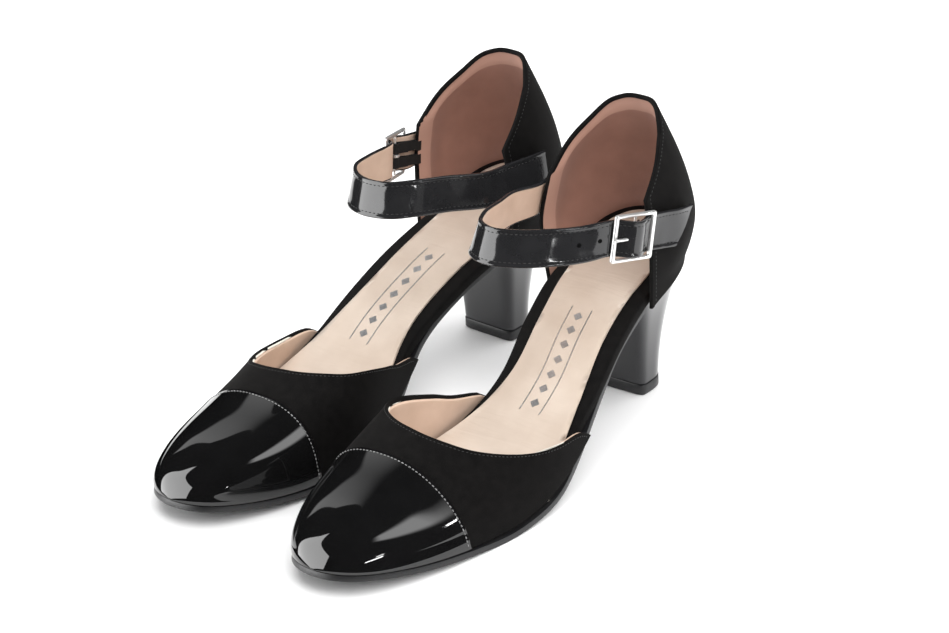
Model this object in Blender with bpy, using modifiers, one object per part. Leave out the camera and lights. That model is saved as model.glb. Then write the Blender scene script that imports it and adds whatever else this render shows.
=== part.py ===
"""A pair of cap-toe d'Orsay court shoes with an ankle strap and a block heel, in metres, +Z up.

One shoe is modelled as the left one, in its own coordinates in millimetres: u runs forward from the
heel, v towards the outside of the foot and z up. The right one is its mirror image.
"""

import math

import bmesh
import bpy
import numpy as np
from mathutils import Matrix, Vector

MM = 0.001

# Placing of the pair (mm, degrees)
LEFT_AT = (41.38, 111.6)
RIGHT_FROM_LEFT = (-74.0, 12.5)
RIGHT_TURN = -3.6

# The last: its outline at the feather line and the height of that line above the floor (mm)
HEEL_U = 3.5
TOE_U = 236.5
OUTLINE = (  # u, outer side, inner side
    (3.5, 0.0, 0.0),
    (7.0, 11.0, -10.5),
    (16.0, 18.8, -18.0),
    (30.0, 23.3, -22.0),
    (50.0, 24.6, -21.6),
    (72.0, 27.5, -18.0),
    (96.0, 32.0, -15.0),
    (116.0, 34.6, -19.0),
    (136.0, 36.4, -25.5),
    (156.0, 35.0, -31.4),
    (178.0, 31.2, -32.6),
    (202.0, 25.4, -29.6),
    (222.0, 16.8, -22.2),
    (232.0, 9.2, -15.2),
    (236.5, -3.0, -3.0),
)
FEATHER = (
    (-8.0, 57.6),
    (8.0, 57.0),
    (28.0, 54.3),
    (48.0, 49.8),
    (70.0, 41.4),
    (96.0, 26.5),
    (116.0, 15.0),
    (134.0, 7.2),
    (152.0, 3.7),
    (168.0, 2.7),
    (184.0, 3.7),
    (205.0, 5.6),
    (222.0, 7.7),
    (244.0, 11.0),
)
CREST = (  # u, height of the instep above the feather line
    (105.0, 60.0),
    (120.0, 55.0),
    (135.0, 49.0),
    (150.0, 43.5),
    (166.0, 37.5),
    (190.0, 28.0),
    (208.0, 22.0),
    (222.0, 16.0),
    (231.0, 9.9),
    (235.2, 4.1),
    (236.5, 0.0),
)
RIDGE = ((105.0, -9.0), (160.0, -8.0), (195.0, -4.0), (236.5, 0.0))
OUTER_POWER = 2.05  # how square the section is on each side
INNER_POWER = 2.5
# How far the heel seat rises and spreads inside the heel cup
SEAT_RISE = ((-8.0, 10.5), (3.5, 9.6), (14.0, 7.0), (28.0, 2.6), (40.0, 0.3), (52.0, 0.0), (90.0, 0.0), (240.0, 0.0))
SEAT_SPREAD = ((-8.0, 2.0), (3.5, 2.0), (14.0, 1.6), (28.0, 0.5), (40.0, 0.0), (60.0, 0.0), (240.0, 0.0))

# Layers of the upper, as distances outside the last (mm)
LINING = (0.0, 1.0)
MIDDLE = (1.3, 0.8)
OUTER = (2.4, 1.1)
GAP = 0.3

# Vamp and toe cap
TOPLINE = (  # degrees round the section from the outer side, u
    (0.0, 107.5),
    (6.0, 113.0),
    (16.0, 128.5),
    (32.0, 150.0),
    (48.0, 163.5),
    (64.0, 169.8),
    (80.0, 172.0),
    (96.0, 170.3),
    (112.0, 165.0),
    (128.0, 157.0),
    (140.0, 148.3),
    (150.0, 140.0),
    (160.0, 131.0),
    (170.0, 121.0),
    (180.0, 105.0),
)
CAP_SEAM_U = 185.5
AROUND = 14
VAMP_ROWS = 5
CAP_ROWS = 6

# Quarter
QUARTER_U = 48.0
HEEL_CENTRE_U = 26.0
BACK_RADIUS = (  # z, outer radius of the heel cup
    (50.0, 25.6),
    (59.0, 26.0),
    (66.0, 28.8),
    (77.0, 31.4),
    (91.0, 29.0),
    (105.0, 23.8),
    (116.0, 18.4),
    (127.0, 12.6),
)
FRONT_RADIUS = ((50.0, 26.0), (66.0, 26.4), (84.0, 25.9), (98.0, 24.0), (112.0, 21.5), (127.0, 17.5))
INNER_FRONT_BULGE = ((50.0, 0.0), (62.0, 2.0), (76.0, 3.5), (90.0, 1.5), (100.0, 0.0), (127.0, 0.0))
QUARTER_TOP = ((0.0, 126.0), (0.3, 126.0), (0.6, 122.0), (0.8, 113.0), (1.0, 98.5))
QUARTER_COLUMNS = 16
QUARTER_ROWS = 5
STIFFENER_COLUMNS = 12
STIFFENER_ROWS = 3

# Bottom layers, as heights above the feather line along its normal (mm)
OUTSOLE = (-2.7, 2.5)
FLANGE_LOW = 0.3
BOARD = (1.6, 2.0)
FOAM = (3.9, 1.0)
SOCK = (5.2, 0.8)
STATIONS = 22
COVER_TUCK = ((0.0, 0.0), (93.0, 0.0), (103.0, 0.8), (130.0, 1.0))  # drawn in where it runs under the vamp
COVER_ENDS_U = (121.0, 118.0)  # outer side, inner side

# Heel
TOP_PIECE = 4.9
HEEL_SECTIONS = (  # share of the height, back u, breast u, half width
    (0.0, 18.0, 36.6, 13.6),
    (0.2, 17.0, 37.2, 14.2),
    (0.45, 14.5, 38.8, 15.6),
    (0.7, 11.0, 41.5, 18.0),
    (0.88, 7.8, 44.5, 20.6),
    (1.0, 5.0, 47.0, 22.8),
)
HEEL_AROUND = 24
SEAT_STEP = 2.6  # the block's rim stands this far outside the part that carries the heel seat
SCREW_AT = (27.0, 0.5)
NAILS_AT = ((17.5, 0.5), (28.0, 10.5), (28.0, -9.0), (38.0, 1.0))

# Ankle strap and buckle
STRAP_WIDTH = 15.6
STRAP_CLEAR = 1.2
BUCKLE_AT = (61.0, 27.7, 88.0)
BUCKLE_ALONG = (20.0, -6.5, 3.7)
BUCKLE_LENGTH = 21.4
BUCKLE_HEIGHT = 20.8
BAR = 2.1
SIDE_BAR = 1.6
BAR_THICK = 1.4
PIN_BAR = (1.2, 1.2)
BAR_PITCH = 9.65
LOOP_RADIUS = 1.62
PRONG_RADIUS = 0.6
TAB_WIDTH = 11.0
TAB_HIDDEN_U = (40.0, 44.0, 47.5)
HOLES_ALONG = (16.5, 25.5)
TAIL = ((24.0, 80.9), (32.0, 82.4), (40.0, 84.0))  # u, z
SEWN_END = ((49.0, 86.6), (39.0, 86.2), (30.0, 85.8))
LEFT_LOOP = (  # u, v, z, lean of the strap in degrees, from the buckle round the front to the inner side
    (80.0, 16.8, 89.8, 6.0),
    (92.0, 8.2, 90.8, 12.0),
    (101.0, -2.5, 91.4, 18.0),
    (105.0, -13.0, 91.8, 22.0),
    (101.5, -21.5, 91.6, 20.0),
    (91.0, -27.0, 90.4, 14.0),
    (75.0, -30.0, 88.4, 9.0),
    (61.0, -31.8, 87.0, 6.0),
)
RIGHT_LOOP = (  # its strap stands off towards the outer side
    (84.0, 23.0, 90.0, 6.0),
    (95.0, 20.5, 90.8, 10.0),
    (102.8, 13.8, 91.3, 16.0),
    (106.0, 3.5, 91.6, 20.0),
    (103.2, -6.8, 91.8, 20.0),
    (95.0, -13.6, 91.6, 14.0),
    (81.5, -19.6, 90.2, 9.0),
    (66.0, -27.0, 88.0, 6.0),
)

COLLECTION = bpy.data.collections.new("ankle_strap_court_shoes")
CUTTERS = bpy.data.collections.new("cutters")


# ---------------------------------------------------------------- curves and surfaces of the last


def smooth(knots, x):
    """The smooth curve through the knots (x, value), at one x or an array of them."""
    xs, ys = np.array(knots, float).T
    slopes = np.gradient(ys, xs)
    x = np.clip(x, xs[0], xs[-1])
    i = np.clip(np.searchsorted(xs, x, side="right") - 1, 0, len(xs) - 2)
    span = xs[i + 1] - xs[i]
    t = (x - xs[i]) / span
    start = (1 + 2 * t) * (1 - t) ** 2 * ys[i] + t * (1 - t) ** 2 * span * slopes[i]
    end = t * t * (3 - 2 * t) * ys[i + 1] + t * t * (t - 1) * span * slopes[i + 1]
    return start + end


def share_of(u):
    """How far round from the heel (0) to the toe (1) a station is, so that both ends come out round."""
    return math.acos(1 - 2 * min(max((u - HEEL_U) / (TOE_U - HEEL_U), 0), 1)) / math.pi


def station(share):
    return HEEL_U + (TOE_U - HEEL_U) * (1 - math.cos(math.pi * share)) / 2


OUTER_EDGE = [(share_of(u), outer) for u, outer, inner in OUTLINE]
INNER_EDGE = [(share_of(u), inner) for u, outer, inner in OUTLINE]


def feather_edge(share, side):
    return np.array([station(share), float(smooth(OUTER_EDGE if side > 0 else INNER_EDGE, share))])


def edge_normal(share, side):
    step = 0.004
    run = feather_edge(min(share + step, 1), side) - feather_edge(max(share - step, 0), side)
    if share < step:
        return np.array([-1.0, 0.0])
    if share > 1 - step:
        return np.array([1.0, 0.0])
    return side * np.array([-run[1], run[0]]) / np.hypot(*run)


def edge(share, side, out):
    """The feather line moved outwards, in the plane of the floor."""
    return feather_edge(share, side) + out * edge_normal(share, side)


def feather(u):
    return float(smooth(FEATHER, u))


def bed(u):
    """The underside of the insole: the feather line, with the heel seat raised."""
    return feather(u) + max(float(np.interp(u, *zip(*SEAT_RISE))), 0.0)


def bed_slope(u):
    return (bed(u + 4) - bed(u - 4)) / 8


def above(u, v, height):
    """The point that lies a height above the insole's underside, along its normal."""
    length = math.hypot(1, bed_slope(u))
    return (u - height * bed_slope(u) / length, v, bed(u) + height / length)


def bed_edge(share, side, out):
    return edge(share, side, out + float(np.interp(station(share), *zip(*SEAT_SPREAD))))


def dome(share, turn, out):
    """The top of the last: turn runs in degrees from its outer edge over the instep to the inner one."""
    outer, inner = edge(share, 1, out), edge(share, -1, out)
    across, rise = math.cos(math.radians(turn)), math.sin(math.radians(turn))
    power = 2 / (INNER_POWER + (OUTER_POWER - INNER_POWER) * (1 + across) / 2)
    mix = (1 + math.copysign(abs(across) ** power, across)) / 2
    u, v = mix * outer + (1 - mix) * inner
    crest = float(smooth(CREST, station(share)))
    fade = min(1.0, math.sqrt(crest / 5))
    v += float(smooth(RIDGE, station(share))) * rise**2
    return (u, v, feather(u) + GAP + (crest + out * fade) * max(rise, 0) ** power)


def cup(turn, z, out):
    """The heel cup: turn runs from 1 at the outer front edge round the back (0) to -1 at the inner one."""
    side = 1 if turn >= 0 else -1
    share = abs(turn) * share_of(QUARTER_U)
    u, v = feather_edge(share, side)
    sole = HEEL_CENTRE_U - HEEL_U + OUTER[0] + OUTER[1]
    forward = min(max((u - HEEL_CENTRE_U) / (QUARTER_U - HEEL_CENTRE_U), 0), 1)
    back = float(smooth(BACK_RADIUS, z)) / sole
    front = float(smooth(FRONT_RADIUS, z) + (smooth(INNER_FRONT_BULGE, z) if side < 0 else 0)) / sole
    grow = back + (front - back) * forward * forward * (3 - 2 * forward)
    if u < HEEL_CENTRE_U:
        u = HEEL_CENTRE_U - (HEEL_CENTRE_U - u) * back
    u, v = np.array([u, v * grow]) + out * edge_normal(share, side)
    return (u, v, z)


# ---------------------------------------------------------------- mesh making


def to_local(point):
    u, v, z = point
    return (v * MM, -u * MM, z * MM)


def add_object(name, data, colour, roughness, metallic=0.0):
    obj = bpy.data.objects.new(name, data)
    COLLECTION.objects.link(obj)
    data.materials.append(material(name.split("_", 1)[1], colour, roughness, metallic))
    return obj


def material(name, colour, roughness, metallic):
    found = bpy.data.materials.get(name)
    if found:
        return found
    made = bpy.data.materials.new(name)
    made.use_nodes = True
    shader = made.node_tree.nodes["Principled BSDF"]
    shader.inputs["Base Color"].default_value = (*colour, 1)
    shader.inputs["Roughness"].default_value = roughness
    shader.inputs["Metallic"].default_value = metallic
    return made


def grid_mesh(name, rows, closed=False, caps=False):
    """A mesh over a grid of (u, v, z) points; points that fall together are merged."""
    mesh = bmesh.new()
    verts = [[mesh.verts.new(to_local(point)) for point in row] for row in rows]
    across = len(rows[0])
    for i in range(len(rows) - 1):
        for j in range(across if closed else across - 1):
            k = (j + 1) % across
            mesh.faces.new((verts[i][j], verts[i][k], verts[i + 1][k], verts[i + 1][j]))
    if caps:
        mesh.faces.new(reversed(verts[0]))
        mesh.faces.new(verts[-1])
    bmesh.ops.remove_doubles(mesh, verts=mesh.verts, dist=1e-6)
    bmesh.ops.dissolve_degenerate(mesh, edges=mesh.edges, dist=1e-7)
    if closed:
        bmesh.ops.recalc_face_normals(mesh, faces=mesh.faces)
    data = bpy.data.meshes.new(name)
    mesh.to_mesh(data)
    mesh.free()
    data.shade_smooth()
    data.set_sharp_from_angle(angle=math.radians(40))
    return data


def shell(name, rows, thickness, colour, roughness, offset=1.0, metallic=0.0, even=False):
    """An open surface thickened on the side that its normals face."""
    obj = add_object(name, grid_mesh(name, rows), colour, roughness, metallic)
    solid = obj.modifiers.new("thickness", "SOLIDIFY")
    solid.thickness = thickness * MM
    solid.offset = offset
    solid.use_even_offset = even
    return obj


def cut(obj, cutter):
    """Takes a cutter away from an object; a solid cutter stays hidden in its own collection."""
    modifier = obj.modifiers.new("cut", "BOOLEAN")
    modifier.operation = "DIFFERENCE"
    modifier.solver = "EXACT"
    modifier.object = cutter


def cylinder_cutter(name, matrix, radius, depth, sides=12):
    mesh = bmesh.new()
    bmesh.ops.create_cone(
        mesh, cap_ends=True, segments=sides, radius1=radius * MM, radius2=radius * MM, depth=depth * MM
    )
    return place_cutter(name, mesh, matrix)


def box_cutter(name, matrix, size):
    mesh = bmesh.new()
    bmesh.ops.create_cube(mesh, size=1)
    bmesh.ops.scale(mesh, vec=[side * MM for side in size], verts=mesh.verts)
    return place_cutter(name, mesh, matrix)


def place_cutter(name, mesh, matrix):
    data = bpy.data.meshes.new(name)
    mesh.to_mesh(data)
    mesh.free()
    cutter = bpy.data.objects.new(name, data)
    cutter.matrix_world = matrix
    cutter.display_type = "WIRE"
    cutter.hide_render = True
    CUTTERS.objects.link(cutter)
    return cutter


# ---------------------------------------------------------------- uppers

BLACK_SUEDE = ((0.012, 0.011, 0.011), 0.9)
BLACK_PATENT = ((0.004, 0.004, 0.005), 0.06)
BEIGE_LEATHER = ((0.62, 0.42, 0.29), 0.5)
PINK_LEATHER = ((0.47, 0.27, 0.21), 0.55)
STIFF_FIBRE = ((0.75, 0.68, 0.55), 0.8)
BLACK_PLASTIC = ((0.01, 0.01, 0.012), 0.2)


def vamp_rows(out):
    """Rows from the topline to the seam of the toe cap."""
    rows = []
    for i in range(VAMP_ROWS + 1):
        row = []
        for turn in np.linspace(0, 180, AROUND + 1):
            start = share_of(float(smooth(TOPLINE, turn)))
            end = share_of(CAP_SEAM_U)
            row.append(dome(start + (end - start) * i / VAMP_ROWS, turn, out))
        rows.append(row)
    return rows


def cap_rows(out, first_u=CAP_SEAM_U):
    """Rows from the seam of the toe cap to the tip, where they meet in one point."""
    start = share_of(first_u)
    shares = [start + (1 - start) * i / CAP_ROWS for i in range(CAP_ROWS + 1)]
    return [[dome(share, turn, out) for turn in np.linspace(0, 180, AROUND + 1)] for share in shares]


def make_uppers():
    shell("left_toe_cap", cap_rows(OUTER[0], CAP_SEAM_U + GAP), OUTER[1], *BLACK_PATENT)
    shell("left_toe_puff", cap_rows(MIDDLE[0], CAP_SEAM_U + GAP), MIDDLE[1], *STIFF_FIBRE)
    shell("left_vamp", vamp_rows(OUTER[0]), OUTER[1], *BLACK_SUEDE)
    shell("left_vamp_interlining", vamp_rows(MIDDLE[0]), MIDDLE[1], *STIFF_FIBRE)
    whole = vamp_rows(LINING[0]) + cap_rows(LINING[0])[1:]
    shell("left_vamp_lining", whole, LINING[1], *BEIGE_LEATHER)


def cup_rows(out, columns=QUARTER_COLUMNS, rows=QUARTER_ROWS):
    """Rows of the heel cup from the feather line upwards; fewer columns or rows leave its edges bare."""
    reach = columns / QUARTER_COLUMNS
    points = []
    for i in range(rows + 1):
        row = []
        for turn in np.linspace(reach, -reach, columns + 1):
            low = feather(station(abs(turn) * share_of(QUARTER_U))) + GAP
            high = float(smooth(QUARTER_TOP, abs(turn)))
            row.append(cup(turn, low + (high - low) * i / QUARTER_ROWS, out))
        points.append(row)
    return points


def make_quarters():
    shell("left_quarter", cup_rows(OUTER[0]), OUTER[1], *BLACK_SUEDE)
    stiffener = cup_rows(MIDDLE[0], STIFFENER_COLUMNS, STIFFENER_ROWS)
    shell("left_counter_stiffener", stiffener, MIDDLE[1], *STIFF_FIBRE)
    shell("left_quarter_lining", cup_rows(LINING[0]), LINING[1], *PINK_LEATHER)


# ---------------------------------------------------------------- bottom


def stations(first_u, last_u):
    """Shares of the shoe's length, on one grid for every layer so that their facets nest."""
    start, end = share_of(first_u), share_of(last_u)
    grid = [k / STATIONS for k in range(STATIONS + 1)]
    return [start] + [share for share in grid if start + 0.01 < share < end - 0.01] + [end]


def plate(name, inset, layer, first_u, last_u, look):
    """A sheet that follows the bottom of the last, with its lower face at the layer's height."""
    rows = []
    for share in stations(first_u, last_u):
        out = -float(np.interp(station(share), *zip(*inset)))
        rows.append([above(*bed_edge(share, side, out), layer[0]) for side in (1, -1)])
    return shell(name, rows, layer[1], *look)


def strip_rows(half_width, first_u, last_u):
    """Rows of a strip of even width that runs along the middle of the shoe."""
    rows = []
    for share in stations(first_u, last_u):
        middle = (feather_edge(share, 1) + feather_edge(share, -1)) / 2
        rows.append([above(middle[0], middle[1] + side * half_width, FLANGE_LOW) for side in (1, -1)])
    return rows


def make_bottom():
    """Everything between the foot and the floor except the heel."""
    outsole_inset = ((40.0, 0.4), (98.0, 0.4), (124.0, -2.6), (240.0, -2.9))
    plate("left_outsole", outsole_inset, OUTSOLE, 48.5, TOE_U, ((0.012, 0.012, 0.013), 0.45))
    board_inset = ((0.0, 1.6), (91.0, 1.6), (101.0, 2.7), (124.0, 2.8), (140.0, 1.8), (195.0, 1.8), (225.0, 4.0), (240.0, 5.5))
    board = plate("left_insole_board", board_inset, BOARD, HEEL_U, TOE_U, ((0.5, 0.36, 0.22), 0.85))
    foam_inset = ((0.0, 9.6), (91.0, 9.6), (100.0, 10.6), (122.5, 10.6), (132.0, 3.0), (195.0, 3.2), (225.0, 7.0), (240.0, 9.0))
    plate("left_insole_foam", foam_inset, FOAM, HEEL_U, TOE_U, ((0.7, 0.62, 0.45), 0.9))
    sock_inset = ((0.0, 4.5), (108.0, 4.5), (128.0, 2.0), (190.0, 2.4), (222.0, 8.0), (240.0, 11.0))
    plate("left_sock_lining", sock_inset, SOCK, HEEL_U, TOE_U, BEIGE_LEATHER)
    filler_inset = ((120.0, 9.0), (240.0, 9.5))
    plate("left_bottom_filler", filler_inset, (FLANGE_LOW, 1.0), 128.0, 226.0, ((0.45, 0.3, 0.18), 0.95))
    shell("left_shank", strip_rows(6.0, 40.0, 124.0), 1.0, (0.55, 0.56, 0.58), 0.35, metallic=1.0)
    make_cover()
    return board


def make_cover():
    """Suede wrapped round the edge of the insole board, from the outer waist round the heel to the inner one."""
    profile = ((-7.0, 0.8), (-0.8, 0.8), (-0.8, 4.4), (-8.3, 4.4))
    outer, inner = (stations(HEEL_U, end) for end in COVER_ENDS_U)
    rows = []
    for turn in outer[::-1] + [-share for share in inner[1:]]:
        row = []
        tuck = float(np.interp(station(abs(turn)), *zip(*COVER_TUCK)))
        for out, height in profile:
            u, v = bed_edge(abs(turn), 1 if turn >= 0 else -1, out - tuck)
            row.append(above(u, v, height))
        rows.append(row)
    return shell("left_insole_cover", rows, 1.0, *BLACK_SUEDE, offset=0.0, even=True)


# ---------------------------------------------------------------- heel


def heel_outline(back_u, breast_u, half_width, grow=0.0):
    """A D-shaped section: round at the back, nearly square at the breast."""
    middle = 0.62 * breast_u + 0.38 * back_u
    points = []
    for i in range(HEEL_AROUND):
        turn = 2 * math.pi * (i + 0.5) / HEEL_AROUND
        across, along = math.sin(turn), math.cos(turn)
        power = 2 / 7 if along > 0 else 2 / 2.5
        reach = breast_u - middle if along > 0 else middle - back_u
        u = middle + (reach + grow) * math.copysign(abs(along) ** power, along)
        v = (half_width + grow) * math.copysign(abs(across) ** power, across)
        points.append((u, v + 0.6))
    return points


def heel_rows():
    rows = []
    for share, back_u, breast_u, half_width in HEEL_SECTIONS:
        row = []
        for u, v in heel_outline(back_u, breast_u, half_width):
            top = feather(u) - 0.35
            low = TOP_PIECE + GAP
            row.append((u, v, low + (top - low) * share))
        rows.append(row)
    seat = heel_outline(*HEEL_SECTIONS[-1][1:], grow=-SEAT_STEP)
    rows.append([(u, v, feather(u) - 0.7) for u, v in seat])
    rows.append([(u, v, bed(u) - 0.35) for u, v in seat])
    return rows


def make_heel(board):
    block_mesh = grid_mesh("left_heel_block", heel_rows(), closed=True, caps=True)
    block = add_object("left_heel_block", block_mesh, *BLACK_PLASTIC)
    outline = heel_outline(*HEEL_SECTIONS[0][1:], grow=0.2)
    rows = [[(u, v, z) for u, v in outline] for z in (0.0, TOP_PIECE)]
    piece = grid_mesh("left_top_piece", rows, closed=True, caps=True)
    add_object("left_top_piece", piece, (0.02, 0.02, 0.02), 0.7)
    make_fastener("left_heel_screw", SCREW_AT, (2.0, 4.0, 24.0), board, block)
    for number, place in enumerate(NAILS_AT, 1):
        make_fastener(f"left_heel_nail_{number}", place, (0.9, 2.2, 13.0), board, block)


def make_fastener(name, place, sizes, board, block):
    """A screw or nail driven down through the insole board into the heel, and the holes it sits in."""
    radius, head, length = sizes
    u, v = place
    base = bed(u)
    top = base + BOARD[0] + BOARD[1] - 0.4 - head * abs(bed_slope(u))
    bottom = base - length
    profile = [(0.0, top), (head, top), (head, top - 1.0), (radius, top - 1.2)]
    profile += [(radius, bottom + 1.5), (0.0, bottom)]
    data = bpy.data.meshes.new(name)
    verts = [(r * MM, 0, z * MM) for r, z in profile]
    data.from_pydata(verts, [(i, i + 1) for i in range(len(verts) - 1)], [])
    obj = add_object(name, data, (0.6, 0.6, 0.62), 0.35, 1.0)
    obj.location = (v * MM, -u * MM, 0)
    turn = obj.modifiers.new("turn", "SCREW")
    turn.steps = turn.render_steps = 12
    turn.use_merge_vertices = True
    turn.merge_threshold = 1e-6
    turn.use_normal_calculate = True
    data.shade_smooth()
    cut(board, fastener_cutter(f"{name}_seat", place, base + 2.5, head + GAP, 12.0))
    cut(block, fastener_cutter(f"{name}_bore", place, base - length / 2 + 1, radius + GAP, length + 4))
    cut(block, fastener_cutter(f"{name}_sink", place, top - 1.2 - GAP + 6, head + GAP, 12.0))


def fastener_cutter(name, place, z, radius, depth):
    matrix = Matrix.Translation((place[1] * MM, -place[0] * MM, z * MM))
    return cylinder_cutter(name, matrix, radius, depth)


# ---------------------------------------------------------------- ankle strap and buckle


def buckle_axes():
    """Unit vectors of the buckle in (u, v, z): along the strap, outwards and up its width."""
    along = np.array(BUCKLE_ALONG) / np.linalg.norm(BUCKLE_ALONG)
    outward = np.array([-along[1], along[0], 0.0])
    outward /= np.linalg.norm(outward)
    up = np.cross(outward, along)
    return along, outward, up * math.copysign(1, up[2])


def buckle_matrix():
    """The buckle's frame as a matrix: X along the strap, Y up its width, Z outwards."""
    along, outward, up = (Vector((v, -u, z)) for u, v, z in buckle_axes())
    matrix = Matrix((along, up, outward)).transposed().to_4x4()
    matrix.translation = Vector(to_local(BUCKLE_AT))
    return matrix


def buckle_point(along, out):
    """A point beside the middle of the buckle, in (u, v, z)."""
    axes = buckle_axes()
    return np.array(BUCKLE_AT) + along * axes[0] + out * axes[1]


def weave(along):
    """How far outside the buckle's plane the strap runs: under both end bars and over the pin bar."""
    return 0.5 + 2.7 * math.cos(math.pi * along / BAR_PITCH)


def cup_point(side, u, z, out):
    """The point of the heel cup's side wall at a given u."""
    turns = np.linspace(0.3, 1.0, 141)
    us = [cup(side * turn, z, out)[0] for turn in turns]
    return np.array(cup(side * float(np.interp(u, us, turns)), z, out))


def strap_on_cup(side, u, z):
    """Where the strap lies flat against the outside of the cup, as (u, v, z, lean)."""
    proud = OUTER[0] + OUTER[1] + STRAP_CLEAR + 0.85
    low, high = (abs(cup_point(side, u, z + end * STRAP_WIDTH / 2, proud)[1]) for end in (-1, 1))
    lean = math.degrees(math.atan2(low - high, STRAP_WIDTH))
    return (u, side * (low + high) / 2, z, lean)


def strap_path(loop):
    """Centre line of the strap as rows (u, v, z, lean), from its free tip to its sewn end."""
    path = [strap_on_cup(1, u, z) for u, z in TAIL]
    path += [(*buckle_point(along, weave(along)), 0.0) for along in np.linspace(-BAR_PITCH, BAR_PITCH, 13)]
    path += [(*buckle_point(12.2, -2.1), 0.0)]
    path += list(loop)
    path += [strap_on_cup(-1, u, z) for u, z in SEWN_END]
    return np.array(path)


def strap_frames(loop, steps_between=2):
    """Smooth points along the strap with their outward and up directions."""
    path = strap_path(loop)
    lengths = np.r_[0, np.cumsum(np.linalg.norm(np.diff(path[:, :3], axis=0), axis=1))]
    fine = []
    for i in range(len(path) - 1):
        pieces = steps_between if lengths[i + 1] - lengths[i] > 4 else 1
        fine += [lengths[i] + (lengths[i + 1] - lengths[i]) * k / pieces for k in range(pieces)]
    fine.append(lengths[-1])
    curve = np.array([smooth(list(zip(lengths, path[:, k])), np.array(fine)) for k in range(4)]).T
    runs = np.gradient(curve[:, :3], np.array(fine), axis=0)
    frames = []
    buckle_along, buckle_out, buckle_up = buckle_axes()
    for point, run in zip(curve, runs):
        run = run / np.linalg.norm(run)
        flat = np.array([-run[1], run[0], 0.0]) / math.hypot(run[0], run[1])
        up = np.cross(flat, run)
        up *= math.copysign(1, up[2])
        if abs(np.dot(point[:3] - BUCKLE_AT, buckle_along)) < BAR_PITCH + 1 and point[1] > 0:
            up = buckle_up
            flat = np.cross(run, up)
            flat *= math.copysign(1, np.dot(flat, buckle_out))
        lean = math.radians(point[3])
        outward = math.cos(lean) * flat + math.sin(lean) * up
        frames.append((point[:3], outward, math.cos(lean) * up - math.sin(lean) * flat))
    return frames


def strap_rows(loop, out):
    half = STRAP_WIDTH / 2
    rows = []
    for point, outward, up in strap_frames(loop):
        middle = point + out * outward
        rows.append([tuple(middle + up * half * side) for side in (-1, 1)])
    return rows


def make_strap(side, loop):
    strap = shell(f"{side}_ankle_strap", strap_rows(loop, 0.4), 0.9, *BLACK_PATENT, offset=0.0)
    lining = shell(f"{side}_strap_lining", strap_rows(loop, -0.55), 0.6, *BEIGE_LEATHER, offset=0.0)
    slot = buckle_matrix() @ Matrix.Translation((3.3 * MM, 0, 2 * MM))
    cut(strap, box_cutter(f"{side}_strap_slot", slot, (5.0, 2.0, 14.0)))
    cut(lining, box_cutter(f"{side}_lining_slot", slot, (5.0, 2.0, 14.0)))
    for number, along in enumerate(HOLES_ALONG, 1):
        matrix = hole_matrix(loop, along)
        cut(strap, cylinder_cutter(f"{side}_strap_hole_{number}", matrix, 0.9, 12.0, 8))
        cut(lining, cylinder_cutter(f"{side}_lining_hole_{number}", matrix, 0.9, 12.0, 8))


def hole_matrix(loop, along):
    """Where a hole sits on the strap, a distance in front of the buckle's middle."""
    start = buckle_point(BAR_PITCH, 0)
    ahead = [f for f in strap_frames(loop, 6) if f[0][0] > start[0]]
    point, outward, up = min(ahead, key=lambda f: abs(np.linalg.norm(f[0] - start) - (along - BAR_PITCH)))
    matrix = Vector((outward[1], -outward[0], outward[2])).to_track_quat("Z", "Y").to_matrix().to_4x4()
    matrix.translation = Vector(to_local(point))
    return matrix


def rounded_rectangle(spline, centre, size, radius):
    """Fills a POLY spline with a rectangle whose corners are rounded."""
    points = []
    for corner in range(4):
        start = corner * math.pi / 2
        sign = (1 if corner in (0, 3) else -1, 1 if corner in (0, 1) else -1)
        at = [centre[k] + sign[k] * (size[k] / 2 - radius) for k in range(2)]
        for step in range(4):
            turn = start + step * math.pi / 6
            points.append((at[0] + radius * math.cos(turn), at[1] + radius * math.sin(turn)))
    spline.points.add(len(points) - 1)
    for point, (x, y) in zip(spline.points, points):
        point.co = (x * MM, y * MM, 0, 1)
    spline.use_cyclic_u = True


def make_buckle():
    curve = bpy.data.curves.new("left_buckle_frame", "CURVE")
    curve.dimensions = "2D"
    curve.fill_mode = "BOTH"
    curve.extrude = BAR_THICK / 2 * MM
    rounded_rectangle(curve.splines.new("POLY"), (0, 0), (BUCKLE_LENGTH, BUCKLE_HEIGHT), 1.2)
    window = (BUCKLE_LENGTH - 2 * BAR - PIN_BAR[0]) / 2
    tall = BUCKLE_HEIGHT - 2 * SIDE_BAR
    for side in (-1, 1):
        centre = (side * (PIN_BAR[0] + window) / 2, 0)
        rounded_rectangle(curve.splines.new("POLY"), centre, (window, tall), 0.4)
    frame = add_object("left_buckle_frame", curve, (0.9, 0.9, 0.92), 0.12, 1.0)
    frame.matrix_world = buckle_matrix()
    make_prong()
    make_tab()


def wire(name, points, radius):
    """A round wire through points in the buckle's X-Z plane."""
    curve = bpy.data.curves.new(name, "CURVE")
    curve.dimensions = "3D"
    curve.bevel_depth = radius * MM
    curve.bevel_resolution = 2
    curve.use_fill_caps = True
    spline = curve.splines.new("POLY")
    spline.points.add(len(points) - 1)
    for point, (x, z) in zip(spline.points, points):
        point.co = (x * MM, 0, z * MM, 1)
    return curve


def make_prong():
    ring = [math.radians(turn) for turn in range(90, 351, 26)]
    points = [(LOOP_RADIUS * math.cos(turn), LOOP_RADIUS * math.sin(turn)) for turn in ring]
    points = [(BUCKLE_LENGTH / 2 - 0.3, LOOP_RADIUS + 0.05), (5.5, LOOP_RADIUS)] + points
    prong = add_object("left_buckle_prong", wire("left_buckle_prong", points, PRONG_RADIUS), (0.9, 0.9, 0.92), 0.12, 1.0)
    prong.matrix_world = buckle_matrix()


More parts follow.
